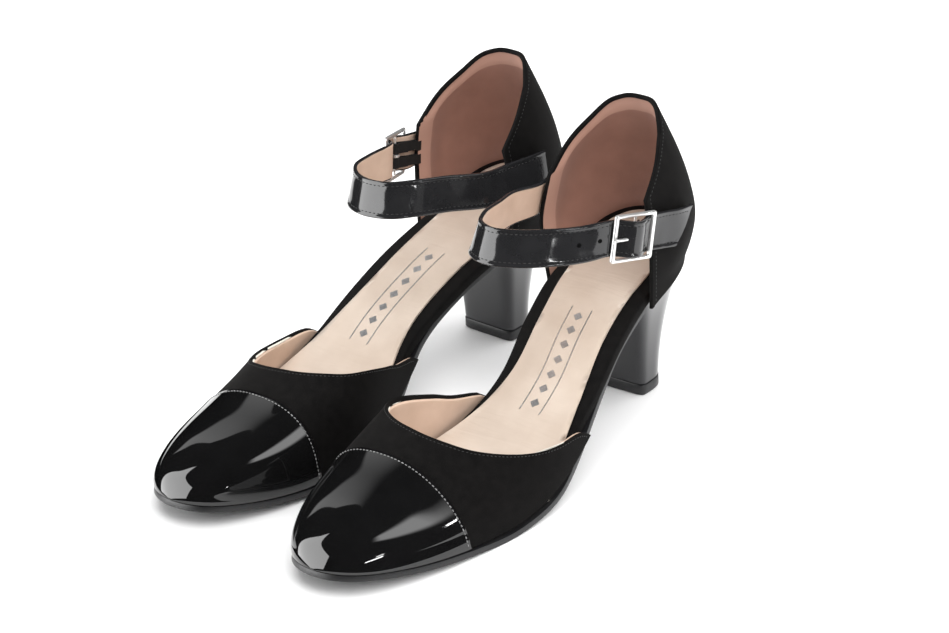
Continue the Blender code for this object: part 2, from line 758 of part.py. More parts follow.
def make_tab():
    """Elastic tab: sewn between the quarter and its lining, out past their edge and round the pin bar."""
    z = BUCKLE_AT[2] - 3.0
    heights = [z + share * TAB_WIDTH for share in (-0.5, -0.15, 0.15, 0.5)]
    rows = [[tuple(cup_point(1, u, height, MIDDLE[0] + MIDDLE[1] / 2)) for height in heights] for u in TAB_HIDDEN_U]
    path = [buckle_point(-9.9, -5.0), buckle_point(-5.6, -2.6)]
    for turn in range(140, -131, -30):
        x = LOOP_RADIUS * math.cos(math.radians(turn))
        path.append(buckle_point(x, LOOP_RADIUS * math.sin(math.radians(turn))))
    path.append(buckle_point(-5.4, -3.9))
    up = buckle_axes()[2]
    rows += [[tuple(point + up * TAB_WIDTH * share) for share in (-0.5, -0.15, 0.15, 0.5)] for point in path]
    tab = shell("left_buckle_tab", rows, 0.6, (0.015, 0.015, 0.016), 0.95, offset=0.0)
    cut(tab, box_cutter("left_tab_slot", buckle_matrix(), (5.4, 2.4, 6.0)))


# ---------------------------------------------------------------- the pair


def add_empty(name, at, turn=0.0, mirrored=False):
    empty = bpy.data.objects.new(name, None)
    COLLECTION.objects.link(empty)
    empty.location = (at[0] * MM, at[1] * MM, 0)
    empty.rotation_euler.z = math.radians(turn)
    empty.scale.x = -1 if mirrored else 1
    return empty


def make_right_shoe(left_nodes, right):
    """Mirror copies of the left shoe's finished pieces."""
    bpy.context.view_layer.update()
    graph = bpy.context.evaluated_depsgraph_get()
    for node in left_nodes:
        mesh = bpy.data.meshes.new_from_object(node.evaluated_get(graph))
        copy = bpy.data.objects.new(node.name.replace("left_", "right_"), mesh)
        COLLECTION.objects.link(copy)
        copy.parent = right
        copy.matrix_basis = node.matrix_basis


def main():
    for obj in list(bpy.data.objects):
        bpy.data.objects.remove(obj)
    for collection in (COLLECTION, CUTTERS):
        bpy.context.scene.collection.children.link(collection)
    CUTTERS.hide_render = True
    make_uppers()
    make_quarters()
    make_heel(make_bottom())
    make_buckle()
    shared_nodes, shared_cutters = list(COLLECTION.objects), list(CUTTERS.objects)
    right_at = (LEFT_AT[0] + RIGHT_FROM_LEFT[0], LEFT_AT[1] + RIGHT_FROM_LEFT[1])
    shoes = {"left": add_empty("left_shoe", LEFT_AT)}
    shoes["right"] = add_empty("right_shoe", right_at, RIGHT_TURN, mirrored=True)
    for side, loop in (("left", LEFT_LOOP), ("right", RIGHT_LOOP)):
        before = set(bpy.data.objects)
        make_strap(side, loop)
        for obj in set(bpy.data.objects) - before:
            obj.parent = shoes[side]
    make_right_shoe(shared_nodes, shoes["right"])
    for obj in shared_nodes + shared_cutters:
        obj.parent = shoes["left"]


main()
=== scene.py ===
"""Looks of a pair of ankle-strap court shoes: fine skins, trim, stitching, materials, light and camera."""

import math

import bmesh
import bpy
import numpy as np
from mathutils import Matrix, Vector


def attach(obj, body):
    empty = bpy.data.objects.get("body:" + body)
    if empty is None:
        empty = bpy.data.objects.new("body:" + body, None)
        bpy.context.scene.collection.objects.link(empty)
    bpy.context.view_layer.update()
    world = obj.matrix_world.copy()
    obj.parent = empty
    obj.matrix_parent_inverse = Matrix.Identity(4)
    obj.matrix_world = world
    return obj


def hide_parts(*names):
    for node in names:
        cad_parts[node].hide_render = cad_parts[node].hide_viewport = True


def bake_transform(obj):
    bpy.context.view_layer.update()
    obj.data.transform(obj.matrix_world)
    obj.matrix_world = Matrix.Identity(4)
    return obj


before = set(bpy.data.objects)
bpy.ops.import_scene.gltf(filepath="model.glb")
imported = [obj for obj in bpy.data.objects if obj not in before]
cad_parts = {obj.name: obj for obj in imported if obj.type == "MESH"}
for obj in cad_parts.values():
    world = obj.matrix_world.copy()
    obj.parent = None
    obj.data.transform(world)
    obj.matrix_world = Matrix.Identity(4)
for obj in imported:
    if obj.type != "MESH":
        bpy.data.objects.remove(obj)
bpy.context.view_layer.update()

MM = 0.001
SIDES = ("left", "right")

# Where each shoe stands (mm): the left shoe's origin is under the back of its heel,
# and the right shoe is its mirror image, moved and turned
LEFT_AT = (41.38, 111.6)
RIGHT_FROM_LEFT = (-74.0, 12.5)
RIGHT_TURN = math.radians(-3.6)

# The last, as in the solid model: u forwards from the heel, v towards the outer side, z up
HEEL_U = 3.5
TOE_U = 236.5
OUTLINE = (
    (3.5, 0.0, 0.0), (7.0, 11.0, -10.5), (16.0, 18.8, -18.0), (30.0, 23.3, -22.0),
    (50.0, 24.6, -21.6), (72.0, 27.5, -18.0), (96.0, 32.0, -15.0), (116.0, 34.6, -19.0),
    (136.0, 36.4, -25.5), (156.0, 35.0, -31.4), (178.0, 31.2, -32.6), (202.0, 25.4, -29.6),
    (222.0, 16.8, -22.2), (232.0, 9.2, -15.2), (236.5, -3.0, -3.0),
)
FEATHER = (
    (-8.0, 57.6), (8.0, 57.0), (28.0, 54.3), (48.0, 49.8), (70.0, 41.4), (96.0, 26.5),
    (116.0, 15.0), (134.0, 7.2), (152.0, 3.7), (168.0, 2.7), (184.0, 3.7), (205.0, 5.6),
    (222.0, 7.7), (244.0, 11.0),
)
CREST = (
    (105.0, 60.0), (120.0, 55.0), (135.0, 49.0), (150.0, 43.5), (166.0, 37.5), (190.0, 28.0),
    (208.0, 22.0), (222.0, 16.0), (231.0, 9.9), (235.2, 4.1), (236.5, 0.0),
)
RIDGE = ((105.0, -9.0), (160.0, -8.0), (195.0, -4.0), (236.5, 0.0))
OUTER_POWER = 2.05  # how square the section is on each side
INNER_POWER = 2.5
# How far the heel seat rises and spreads inside the heel cup
SEAT_RISE = (
    (-8.0, 10.5), (3.5, 9.6), (14.0, 7.0), (28.0, 2.6), (40.0, 0.3), (52.0, 0.0), (90.0, 0.0), (240.0, 0.0),
)
SEAT_SPREAD = ((-8.0, 2.0), (3.5, 2.0), (14.0, 1.6), (28.0, 0.5), (40.0, 0.0), (60.0, 0.0), (240.0, 0.0))
GAP = 0.3  # between pieces that lie on each other
# The vamp's top edge: turn over the instep (degrees), and how far forward the edge is there (u)
TOPLINE = (
    (0.0, 107.5), (6.0, 113.0), (16.0, 128.5), (32.0, 150.0), (48.0, 163.5), (64.0, 169.8),
    (80.0, 172.0), (96.0, 170.3), (112.0, 165.0), (128.0, 157.0), (140.0, 148.3), (150.0, 140.0),
    (160.0, 131.0), (170.0, 121.0), (180.0, 105.0),
)
CAP_SEAM_U = 185.5
QUARTER_U = 48.0
HEEL_CENTRE_U = 26.0
BACK_RADIUS = (
    (50.0, 25.6), (59.0, 26.0), (66.0, 28.8), (77.0, 31.4), (91.0, 29.0), (105.0, 23.8),
    (116.0, 18.4), (127.0, 12.6),
)
FRONT_RADIUS = ((50.0, 26.0), (66.0, 26.4), (84.0, 25.9), (98.0, 24.0), (112.0, 21.5), (127.0, 17.5))
INNER_FRONT_BULGE = ((50.0, 0.0), (62.0, 2.0), (76.0, 3.5), (90.0, 1.5), (100.0, 0.0), (127.0, 0.0))
QUARTER_TOP = ((0.0, 126.0), (0.3, 126.0), (0.6, 122.0), (0.8, 113.0), (1.0, 98.5))
SKIN_OUT = 3.5  # outer face of the upper, outside the last
SKIN_THICK = 1.1
# Sections of the heel block: share of its height, back and breast (u), half width
HEEL_SECTIONS = (
    (0.0, 18.0, 36.6, 13.6), (0.2, 17.0, 37.2, 14.2), (0.45, 14.5, 38.8, 15.6),
    (0.7, 11.0, 41.5, 18.0), (0.88, 7.8, 44.5, 20.6), (1.0, 5.0, 47.0, 22.8),
)
TOP_PIECE = 4.9
NEAR_FLOOR = 24.0  # how far round the toes the floor shows in the gloss
CARD_DISTANCE = 1.2

# Ankle strap and buckle
STRAP_WIDTH = 15.6
STRAP_CLEAR = 1.2
BUCKLE_AT = (61.0, 27.7, 88.0)
BUCKLE_ALONG = (20.0, -6.5, 3.7)
BUCKLE_LENGTH = 21.4
BUCKLE_HEIGHT = 20.8
BAR = 2.1
SIDE_BAR = 1.6
BAR_THICK = 1.4
PIN_RADIUS = 0.62
BAR_PITCH = 9.65
LOOP_RADIUS = 1.62
PRONG_RADIUS = 0.6
TAB_WIDTH = 11.0
TAB_HALF_THICK = 0.28
STRAP_STEP = 0.9  # between the sections of the strap
HOLES_AT = (16.5, 25.5)  # from the buckle's middle
# Ways of the strap (u, z) at its ends, and (u, v, z, lean in degrees) round the ankle
TAIL = ((24.0, 80.9), (32.0, 82.4), (40.0, 84.0))
SEWN_END = ((49.0, 86.6), (39.0, 86.2), (30.0, 85.8))
LEFT_LOOP = (
    (80.0, 16.8, 89.8, 6.0), (92.0, 8.2, 90.8, 12.0), (101.0, -2.5, 91.4, 18.0),
    (105.0, -13.0, 91.8, 22.0), (101.5, -21.5, 91.6, 20.0), (91.0, -27.0, 90.4, 14.0),
    (75.0, -30.0, 88.4, 9.0), (61.0, -31.8, 87.0, 6.0),
)
RIGHT_LOOP = (
    (84.0, 23.0, 90.0, 6.0), (95.0, 20.5, 90.8, 10.0), (102.8, 13.8, 91.3, 16.0),
    (106.0, 3.5, 91.6, 20.0), (103.2, -6.8, 91.8, 20.0), (95.0, -13.6, 91.6, 14.0),
    (81.5, -19.6, 90.2, 9.0), (66.0, -27.0, 88.0, 6.0),
)


# ---------------------------------------------------------------- surfaces


def smooth(knots, x):
    """The smooth curve through the knots (x, value), at one x or an array of them."""
    xs, ys = np.array(knots, float).T
    slopes = np.gradient(ys, xs)
    x = np.clip(x, xs[0], xs[-1])
    i = np.clip(np.searchsorted(xs, x, side="right") - 1, 0, len(xs) - 2)
    span = xs[i + 1] - xs[i]
    t = (x - xs[i]) / span
    start = (1 + 2 * t) * (1 - t) ** 2 * ys[i] + t * (1 - t) ** 2 * span * slopes[i]
    end = t * t * (3 - 2 * t) * ys[i + 1] + t * t * (t - 1) * span * slopes[i + 1]
    return start + end


def share_of(u):
    return math.acos(1 - 2 * min(max((u - HEEL_U) / (TOE_U - HEEL_U), 0), 1)) / math.pi


def station(share):
    return HEEL_U + (TOE_U - HEEL_U) * (1 - math.cos(math.pi * share)) / 2


OUTER_EDGE = [(share_of(u), outer) for u, outer, inner in OUTLINE]
INNER_EDGE = [(share_of(u), inner) for u, outer, inner in OUTLINE]


def feather_edge(share, side):
    return np.array([station(share), float(smooth(OUTER_EDGE if side > 0 else INNER_EDGE, share))])


def edge_normal(share, side):
    step = 0.004
    run = feather_edge(min(share + step, 1), side) - feather_edge(max(share - step, 0), side)
    if share < step:
        return np.array([-1.0, 0.0])
    if share > 1 - step:
        return np.array([1.0, 0.0])
    return side * np.array([-run[1], run[0]]) / np.hypot(*run)


def edge(share, side, out):
    return feather_edge(share, side) + out * edge_normal(share, side)


def feather(u):
    return float(smooth(FEATHER, u))


def bed(u):
    """The underside of the insole: the feather line, with the heel seat raised."""
    return feather(u) + max(float(smooth(SEAT_RISE, u)), 0.0)


def above(u, v, height):
    """The point that lies a height above the insole's underside, along its normal."""
    slope = (bed(u + 4) - bed(u - 4)) / 8
    length = math.hypot(1, slope)
    return (u - height * slope / length, v, bed(u) + height / length)


def bed_edge(share, side, out):
    return edge(share, side, out + float(smooth(SEAT_SPREAD, station(share))))


def dome(share, turn, out):
    """The top of the last: turn runs in degrees from its outer edge over the instep to the inner one."""
    outer, inner = edge(share, 1, out), edge(share, -1, out)
    across, rise = math.cos(math.radians(turn)), math.sin(math.radians(turn))
    power = 2 / (INNER_POWER + (OUTER_POWER - INNER_POWER) * (1 + across) / 2)
    mix = (1 + math.copysign(abs(across) ** power, across)) / 2
    u, v = mix * outer + (1 - mix) * inner
    crest = float(smooth(CREST, station(share)))
    fade = min(1.0, math.sqrt(crest / 5))
    v += float(smooth(RIDGE, station(share))) * rise**2
    return (u, v, feather(u) + GAP + (crest + out * fade) * max(rise, 0) ** power)


def cup(turn, z, out):
    """The heel cup: turn runs from 1 at the outer front edge round the back (0) to -1 at the inner one."""
    side = 1 if turn >= 0 else -1
    share = abs(turn) * share_of(QUARTER_U)
    u, v = feather_edge(share, side)
    sole = HEEL_CENTRE_U - HEEL_U + SKIN_OUT
    forward = min(max((u - HEEL_CENTRE_U) / (QUARTER_U - HEEL_CENTRE_U), 0), 1)
    back = float(smooth(BACK_RADIUS, z)) / sole
    front = float(smooth(FRONT_RADIUS, z) + (smooth(INNER_FRONT_BULGE, z) if side < 0 else 0)) / sole
    grow = back + (front - back) * forward * forward * (3 - 2 * forward)
    if u < HEEL_CENTRE_U:
        u = HEEL_CENTRE_U - (HEEL_CENTRE_U - u) * back
    u, v = np.array([u, v * grow]) + out * edge_normal(share, side)
    return (u, v, z)


def relax(grid, rounds):
    """Evens out a grid of points, inside its first and last row."""
    grid = np.array(grid, float)
    for _ in range(rounds):
        inner = (grid[:-2, 1:-1] + grid[2:, 1:-1] + grid[1:-1, :-2] + grid[1:-1, 2:]) / 4
        grid[1:-1, 1:-1] += 0.5 * (inner - grid[1:-1, 1:-1])
        for column in (0, -1):
            middle = (grid[:-2, column] + grid[2:, column]) / 2
            grid[1:-1, column] += 0.5 * (middle - grid[1:-1, column])
    return grid


# ---------------------------------------------------------------- mesh making


def place(points, side):
    """Points (u, v, z) in mm of the left shoe, as points of the left or right shoe in the shared frame."""
    points = np.asarray(points, float).reshape(-1, 3)
    x, y, z = points[:, 1].copy(), -points[:, 0], points[:, 2]
    at = np.array(LEFT_AT)
    if side == "right":
        c, s = math.cos(RIGHT_TURN), math.sin(RIGHT_TURN)
        x = -x
        x, y = c * x - s * y, s * x + c * y
        at = at + RIGHT_FROM_LEFT
    return np.stack([x + at[0], y + at[1], z], 1) * MM


def grid_faces(rows, columns, closed=False, start=0):
    faces = []
    wrap = columns if closed else columns - 1
    for i in range(rows - 1):
        for j in range(wrap):
            k = (j + 1) % columns
            a, b = start + i * columns + j, start + i * columns + k
            faces.append((a, b, b + columns, a + columns))
    return faces


def sheet_solid(outer, inner):
    """A closed skin between two grids of the same size."""
    outer, inner = np.asarray(outer, float), np.asarray(inner, float)
    rows, columns = outer.shape[:2]
    count = rows * columns
    faces = grid_faces(rows, columns)
    faces += [face[::-1] for face in grid_faces(rows, columns, start=count)]
    rim = [(0, j) for j in range(columns)] + [(i, columns - 1) for i in range(1, rows)]
    rim += [(rows - 1, j) for j in range(columns - 2, -1, -1)] + [(i, 0) for i in range(rows - 2, 0, -1)]
    index = [i * columns + j for i, j in rim]
    for a, b in zip(index, index[1:] + index[:1]):
        faces.append((b, a, a + count, b + count))
    return np.concatenate([outer.reshape(-1, 3), inner.reshape(-1, 3)]), faces


def tube_solid(rings):
    """A closed skin over rings of points, with both ends filled."""
    rings = np.asarray(rings, float)
    rows, columns = rings.shape[:2]
    faces = grid_faces(rows, columns, closed=True)
    faces.append(tuple(range(columns))[::-1])
    faces.append(tuple((rows - 1) * columns + j for j in range(columns)))
    return rings.reshape(-1, 3), faces


def build(name, solid, finish, body, nodes=(), slot=None, bevel=0.0, attribute=None, sharp=35, sides=SIDES):
    """One piece on each shoe. The right one is the mirror image of the left one."""
    points, faces = solid
    made = []
    for side in sides:
        mesh = bpy.data.meshes.new(f"{side}_{name}")
        turned = [face[::-1] for face in faces] if side == "right" else faces
        mesh.from_pydata(place(points, side).tolist(), [], turned)
        mesh.validate()
        if attribute is not None:
            set_mark(mesh, attribute)
        obj = bpy.data.objects.new(f"{side}_{name}", mesh)
        bpy.context.scene.collection.objects.link(obj)
        outward(mesh)
        mesh.shade_smooth()
        mesh.set_sharp_from_angle(angle=math.radians(sharp))
        if bevel:
            rounded = obj.modifiers.new("round", "BEVEL")
            rounded.width = bevel * MM
            rounded.segments = 3
            rounded.limit_method = "ANGLE"
            rounded.angle_limit = math.radians(50)
            rounded.use_clamp_overlap = True
            mesh.set_sharp_from_angle(angle=math.radians(180))
        mesh.materials.append(finish)
        if body:
            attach(obj, f"{side}_{body}")
        if nodes:
            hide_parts(*[f"{side}_{node}" for node in nodes])
        made.append(obj)
    return made


def set_mark(mesh, values):
    """Stores a value at each point, for a material to read."""
    mark = mesh.attributes.new("mark", "FLOAT", "POINT")
    mark.data.foreach_set("value", np.asarray(values, np.float32))


def outward(mesh):
    """Turns the faces of a closed mesh outwards."""
    work = bmesh.new()
    work.from_mesh(mesh)
    bmesh.ops.remove_doubles(work, verts=work.verts, dist=1e-7)
    bmesh.ops.recalc_face_normals(work, faces=work.faces)
    work.to_mesh(mesh)
    work.free()


def circle(count):
    """Angles that divide a full turn evenly."""
    return [2 * math.pi * k / count for k in range(count)]


def along_path(values, runs, at):
    """The three values at a distance along a path."""
    return np.array([np.interp(at, runs, values[:, k]) for k in range(3)])


# The shape of a stitch from end to end: share of its length, and width and height as shares of its radius
STITCH_SHAPE = ((0.0, 0.35, -0.5), (0.18, 0.85, 0.15), (0.5, 1.0, 0.4), (0.82, 0.85, 0.15), (1.0, 0.35, -0.5))


def stitches(name, path, normals, finish, body, pitch, length, radius, slot="suede", inset=0.08, sides=SIDES):
    """A row of separate stitches that lie along a path on a surface."""
    path, normals = np.asarray(path, float), np.asarray(normals, float)
    runs = np.r_[0, np.cumsum(np.linalg.norm(np.diff(path, axis=0), axis=1))]
    count = int(runs[-1] / pitch)
    points, faces = [], []
    for k in range(count):
        middle = (k + 0.5) * runs[-1] / count
        start, end = (along_path(path, runs, middle + way * length / 2) for way in (-1, 1))
        normal = along_path(normals, runs, middle)
        normal /= np.linalg.norm(normal)
        along = end - start
        across = np.cross(normal, along)
        across /= np.linalg.norm(across)
        rings = []
        for step, wide, high in STITCH_SHAPE:
            centre = start + along * step + normal * (radius * high - inset)
            reach = radius * wide
            rings.append([centre + reach * (math.cos(t) * across + math.sin(t) * normal) for t in circle(6)])
        solid, own = tube_solid(rings)
        faces += [tuple(i + len(points) for i in face) for face in own]
        points += solid.tolist()
    return build(name, (np.array(points), faces), finish, body, slot=slot, sharp=180, sides=sides)


# ---------------------------------------------------------------- materials


def add_node(tree, kind, **inputs):
    """A new node with its inputs set: a socket is linked, and anything else is a value."""
    made = tree.nodes.new("ShaderNode" + kind)
    for name, value in inputs.items():
        target = made.inputs[name.replace("_", " ")]
        if isinstance(value, bpy.types.NodeSocket):
            tree.links.new(value, target)
        else:
            target.default_value = value
    return made


def material(name, dark, light, grain, roughness, bump_grain, bump_mm, stretch=None, **sockets):
    """A procedural finish: a colour that drifts between two tones, uneven gloss and a fine relief."""
    made = bpy.data.materials.new(name)
    made.use_nodes = True
    tree = made.node_tree
    shader = tree.nodes["Principled BSDF"]
    where = add_node(tree, "TexCoord").outputs["Object"]
    if stretch:
        turned = add_node(tree, "Mapping", Vector=where, Rotation=stretch[0], Scale=stretch[1])
        where = turned.outputs["Vector"]
    tone = add_node(tree, "TexNoise", Vector=where, Scale=grain, Detail=4).outputs["Fac"]
    ramp = add_node(tree, "ValToRGB", Fac=tone)
    for element, position, colour in zip(ramp.color_ramp.elements, (0.25, 0.75), (dark, light)):
        element.position = position
        element.color = (*colour, 1)
    tree.links.new(ramp.outputs["Color"], shader.inputs["Base Color"])
    dull, shiny = min(roughness * 1.15, 1), max(roughness * 0.85, 0.01)
    gloss = add_node(tree, "MapRange", Value=tone, To_Min=shiny, To_Max=dull)
    tree.links.new(gloss.outputs["Result"], shader.inputs["Roughness"])
    fine = add_node(tree, "TexNoise", Vector=where, Scale=bump_grain, Detail=3)
    relief = add_node(tree, "Bump", Height=fine.outputs["Fac"], Strength=1, Distance=bump_mm * MM)
    tree.links.new(relief.outputs["Normal"], shader.inputs["Normal"])
    for socket, value in sockets.items():
        shader.inputs[socket.replace("_", " ")].default_value = value
    return made


def marked(made, colour):
    """Gives the marked part of a piece another colour."""
    tree = made.node_tree
    base = tree.nodes["Principled BSDF"].inputs["Base Color"]
    plain = base.links[0].from_socket
    mark = add_node(tree, "Attribute")
    mark.attribute_name = "mark"
    step = add_node(tree, "MapRange", Value=mark.outputs["Fac"], From_Min=0.4, From_Max=0.6)
    mix = tree.nodes.new("ShaderNodeMix")
    mix.data_type = "RGBA"
    tree.links.new(step.outputs["Result"], mix.inputs["Factor"])
    tree.links.new(plain, mix.inputs["A"])
    mix.inputs["B"].default_value = (*colour, 1)
    tree.links.new(mix.outputs["Result"], base)
    return made


def creased(made, rotation, scale, depth_mm):
    """Adds long soft creases to a finish, under its fine grain."""
    tree = made.node_tree
    fine = next(node for node in tree.nodes if node.type == "BUMP")
    where = add_node(tree, "TexCoord").outputs["Object"]
    where = add_node(tree, "Mapping", Vector=where, Rotation=rotation, Scale=scale).outputs["Vector"]
    folds = add_node(tree, "TexNoise", Vector=where, Scale=1, Detail=2, Distortion=0.4)
    relief = add_node(tree, "Bump", Height=folds.outputs["Fac"], Strength=1, Distance=depth_mm * MM)
    tree.links.new(relief.outputs["Normal"], fine.inputs["Normal"])
    return made


SUEDE = material(
    "suede", (0.0026, 0.0024, 0.0024), (0.006, 0.0055, 0.0053), 260, 0.95, 2600, 0.12,
    Sheen_Weight=0.018, Sheen_Roughness=0.5, Sheen_Tint=(0.5, 0.47, 0.45, 1), Specular_IOR_Level=0.15,
)
PATENT = material(
    "patent", (0.0045, 0.0045, 0.0047), (0.006, 0.006, 0.0062), 90, 0.045, 70, 0.012,
    IOR=1.5, Coat_Weight=0.35, Coat_Roughness=0.03,
)
# The strap's patent has a base colour about three times lighter than the toe cap's. This is a painted
# reflection: it stands in for the grey that the strap's gloss shows.
STRAP_PATENT_PAINTED_REFLECTION = material(
    "strap_patent_painted_reflection", (0.014, 0.014, 0.015), (0.02, 0.02, 0.0212), 110, 0.1, 160, 0.03,
    IOR=1.5, Coat_Weight=0.25, Coat_Roughness=0.05,
)
QUARTER_LINING = marked(
    material(
        "quarter_lining", (0.285, 0.143, 0.105), (0.34, 0.175, 0.13), 120, 0.6, 1500, 0.05, Sheen_Weight=0.1
    ),
    (0.44, 0.25, 0.19),
)
LINING = material("lining_leather", (0.52, 0.37, 0.28), (0.62, 0.46, 0.36), 90, 0.5, 1200, 0.05)
SOCK = creased(
    material(
        "sock_leather", (0.5, 0.4, 0.32), (0.65, 0.55, 0.46), 38, 0.4, 1400, 0.04,
        Sheen_Weight=0.15, Coat_Weight=0.25, Coat_Roughness=0.35,
    ),
    rotation=(0, 0, 0.62), scale=(34, 260, 60), depth_mm=0.35,
)
RUBBER = material("outsole_rubber", (0.008, 0.008, 0.009), (0.014, 0.014, 0.015), 200, 0.4, 900, 0.03)
HEEL = material(
    "heel_lacquer", (0.005, 0.005, 0.0068), (0.0075, 0.0075, 0.0098), 120, 0.16, 300, 0.008,
    Coat_Weight=0.5, Coat_Roughness=0.08,
)
CHROME = material("buckle_metal", (0.86, 0.86, 0.85), (0.93, 0.93, 0.92), 300, 0.3, 2400, 0.003, Metallic=0.8)
THREAD = material("tonal_thread", (0.012, 0.012, 0.012), (0.03, 0.03, 0.03), 900, 0.55, 5000, 0.03)
CAP_THREAD = material("cap_thread", (0.08, 0.08, 0.08), (0.34, 0.34, 0.34), 420, 0.3, 5000, 0.03)
ELASTIC = material(
    "elastic", (0.006, 0.006, 0.006), (0.014, 0.014, 0.014), 300, 0.9, 1, 0.12,
    stretch=((0, 0, 0), (900, 900, 2600)),
)
FOIL = material("foil", (0.55, 0.55, 0.56), (0.85, 0.85, 0.86), 900, 0.32, 1800, 0.02, Metallic=0.9)
# The holes' near-black colour is painted shade, standing in for the dark inside of a punched hole.
PAINTED_SHADE_HOLE = material(
    "hole", (0.0004, 0.0004, 0.0004), (0.0008, 0.0008, 0.0008), 900, 0.6, 3000, 0.02, Specular_IOR_Level=0.1
)
STEEL = material("screw_steel", (0.5, 0.5, 0.52), (0.66, 0.66, 0.68), 300, 0.3, 900, 0.02, Metallic=1.0)
STIFFENER = material("stiffener_sheet", (0.6, 0.54, 0.42), (0.74, 0.68, 0.56), 200, 0.8, 1200, 0.08)
# The inner pieces that keep their plain solids
HIDDEN = {
    "toe_puff": STIFFENER,
    "counter_stiffener": STIFFENER,
    "vamp_interlining": material("interlining", (0.6, 0.57, 0.5), (0.76, 0.73, 0.66), 300, 0.9, 1500, 0.1),
    "insole_board": material("fibre_board", (0.4, 0.28, 0.18), (0.52, 0.39, 0.27), 260, 0.85, 900, 0.1),
    "shank": material(
        "spring_steel", (0.4, 0.4, 0.42), (0.55, 0.55, 0.57), 200, 0.35, 800, 0.02, Metallic=1.0
    ),
    "bottom_filler": material("cork_filler", (0.3, 0.17, 0.08), (0.55, 0.36, 0.2), 400, 0.9, 700, 0.2),
    "insole_foam": material("foam", (0.7, 0.64, 0.46), (0.84, 0.78, 0.6), 500, 0.95, 1600, 0.2),
    "heel_screw": STEEL,
    **{f"heel_nail_{number}": STEEL for number in range(1, 5)},
}


# ---------------------------------------------------------------- uppers

VAMP_ROWS = 26
CAP_ROWS = 48
AROUND = 84
RELAX_ROUNDS = 24
VAMP_LINING_OUT = 1.0
VAMP_SUNK = 0.35  # how far the vamp lies below the cap


def upper_grid(out):
    """The whole upper from its topline to the tip of the toe, with the cap's seam on row VAMP_ROWS."""
    seam = share_of(CAP_SEAM_U)
    rows = []
    for i in range(VAMP_ROWS + CAP_ROWS + 1):
        row = []
        for turn in np.linspace(0, 180, AROUND + 1):
            start = share_of(float(smooth(TOPLINE, turn)))
            if i <= VAMP_ROWS:
                share = start + (seam - start) * i / VAMP_ROWS
            else:
                share = seam + (1 - seam) * (i - VAMP_ROWS) / CAP_ROWS
            row.append(dome(share, turn, out))
        rows.append(row)
    return relax(rows, RELAX_ROUNDS)


def surface_normals(grid):
    """Unit normals of a grid of points, pointing away from its middle."""
    along = np.gradient(grid, axis=0)
    across = np.gradient(grid, axis=1)
    normals = np.cross(along, across)
    normals /= np.linalg.norm(normals, axis=2)[..., None] + 1e-9
    centre = grid.reshape(-1, 3).mean(0) * (1, 1, 0)
    if (normals * (grid - centre)).sum() < 0:
        normals = -normals
    return normals


def offset_row(grid, row, distance, step):
    """Points that lie a distance from a row, towards the row `step` further on."""
    toward = grid[row + step] - grid[row]
    lengths = np.linalg.norm(toward, axis=1)[:, None]
    return grid[row] + toward / lengths * distance


def make_uppers():
    outer, inner = upper_grid(SKIN_OUT), upper_grid(SKIN_OUT - SKIN_THICK)
    lining_out, inside = upper_grid(VAMP_LINING_OUT), upper_grid(0.0)
    seam = VAMP_ROWS
    normals = surface_normals(outer)
    vamp = slice(0, seam + 1)
    vamp_out = outer[vamp] - normals[vamp] * VAMP_SUNK
    cap = sheet_solid(outer[seam:], inner[seam:])
    build("toe_cap_skin", cap, PATENT, "shoe", ["toe_cap"], "patent", bevel=0.3)
    build("vamp_skin", sheet_solid(vamp_out, inner[vamp]), SUEDE, "shoe", ["vamp"], "suede", bevel=0.3)
    lining = sheet_solid(lining_out, inside)
    build("vamp_lining_skin", lining, LINING, "shoe", ["vamp_lining"], "lining_leather", bevel=0.3)
    inset = slice(1, -1)
    row, up = offset_row(outer, seam, 1.3, 2)[inset], normals[seam][inset]
    looks = {"slot": "patent", "pitch": 1.75, "length": 1.25, "radius": 0.27, "inset": 0.02}
    stitches("cap_stitches", row, up, CAP_THREAD, "shoe", **looks)
    row, up = offset_row(vamp_out, 0, 1.7, 2)[inset], normals[1][inset]
    stitches("topline_stitches", row, up, THREAD, "shoe", pitch=1.7, length=1.2, radius=0.2)
    make_topline_binding(vamp_out, lining_out, normals)


def make_topline_binding(vamp_out, lining_out, normals):
    """The folded edge of suede that closes the gap between the vamp and its lining."""
    rings = []
    for j in range(AROUND + 1):
        outer, inner = vamp_out[0, j], lining_out[0, j]
        back = vamp_out[0, j] - vamp_out[1, j]
        back /= np.linalg.norm(back)
        middle = (outer - normals[0, j] * 0.5 + inner) / 2
        reach = np.linalg.norm(outer - normals[0, j] * 0.3 - inner) / 2
        across = outer - inner
        across /= np.linalg.norm(across)
        middle = middle - back * 0.35
        rings.append([middle + across * reach * math.cos(t) + back * 0.5 * math.sin(t) for t in circle(12)])
    build("topline_fold", tube_solid(rings), SUEDE, "shoe", slot="suede", sharp=180)


# ---------------------------------------------------------------- quarter

QUARTER_COLUMNS = 72
QUARTER_ROWS = 34
BAND_WIDTH = 6.5  # of the lighter band along the lining's edges
SIDE_LENGTH = 55.0  # of the quarter, from its front edge to the back


def cup_grid(out):
    rows = []
    for i in range(QUARTER_ROWS + 1):
        row = []
        for turn in np.linspace(1, -1, QUARTER_COLUMNS + 1):
            low = feather(station(abs(turn) * share_of(QUARTER_U))) + GAP
            high = float(smooth(QUARTER_TOP, abs(turn)))
            row.append(cup(turn, low + (high - low) * i / QUARTER_ROWS, out))
        rows.append(row)
    return np.array(rows)


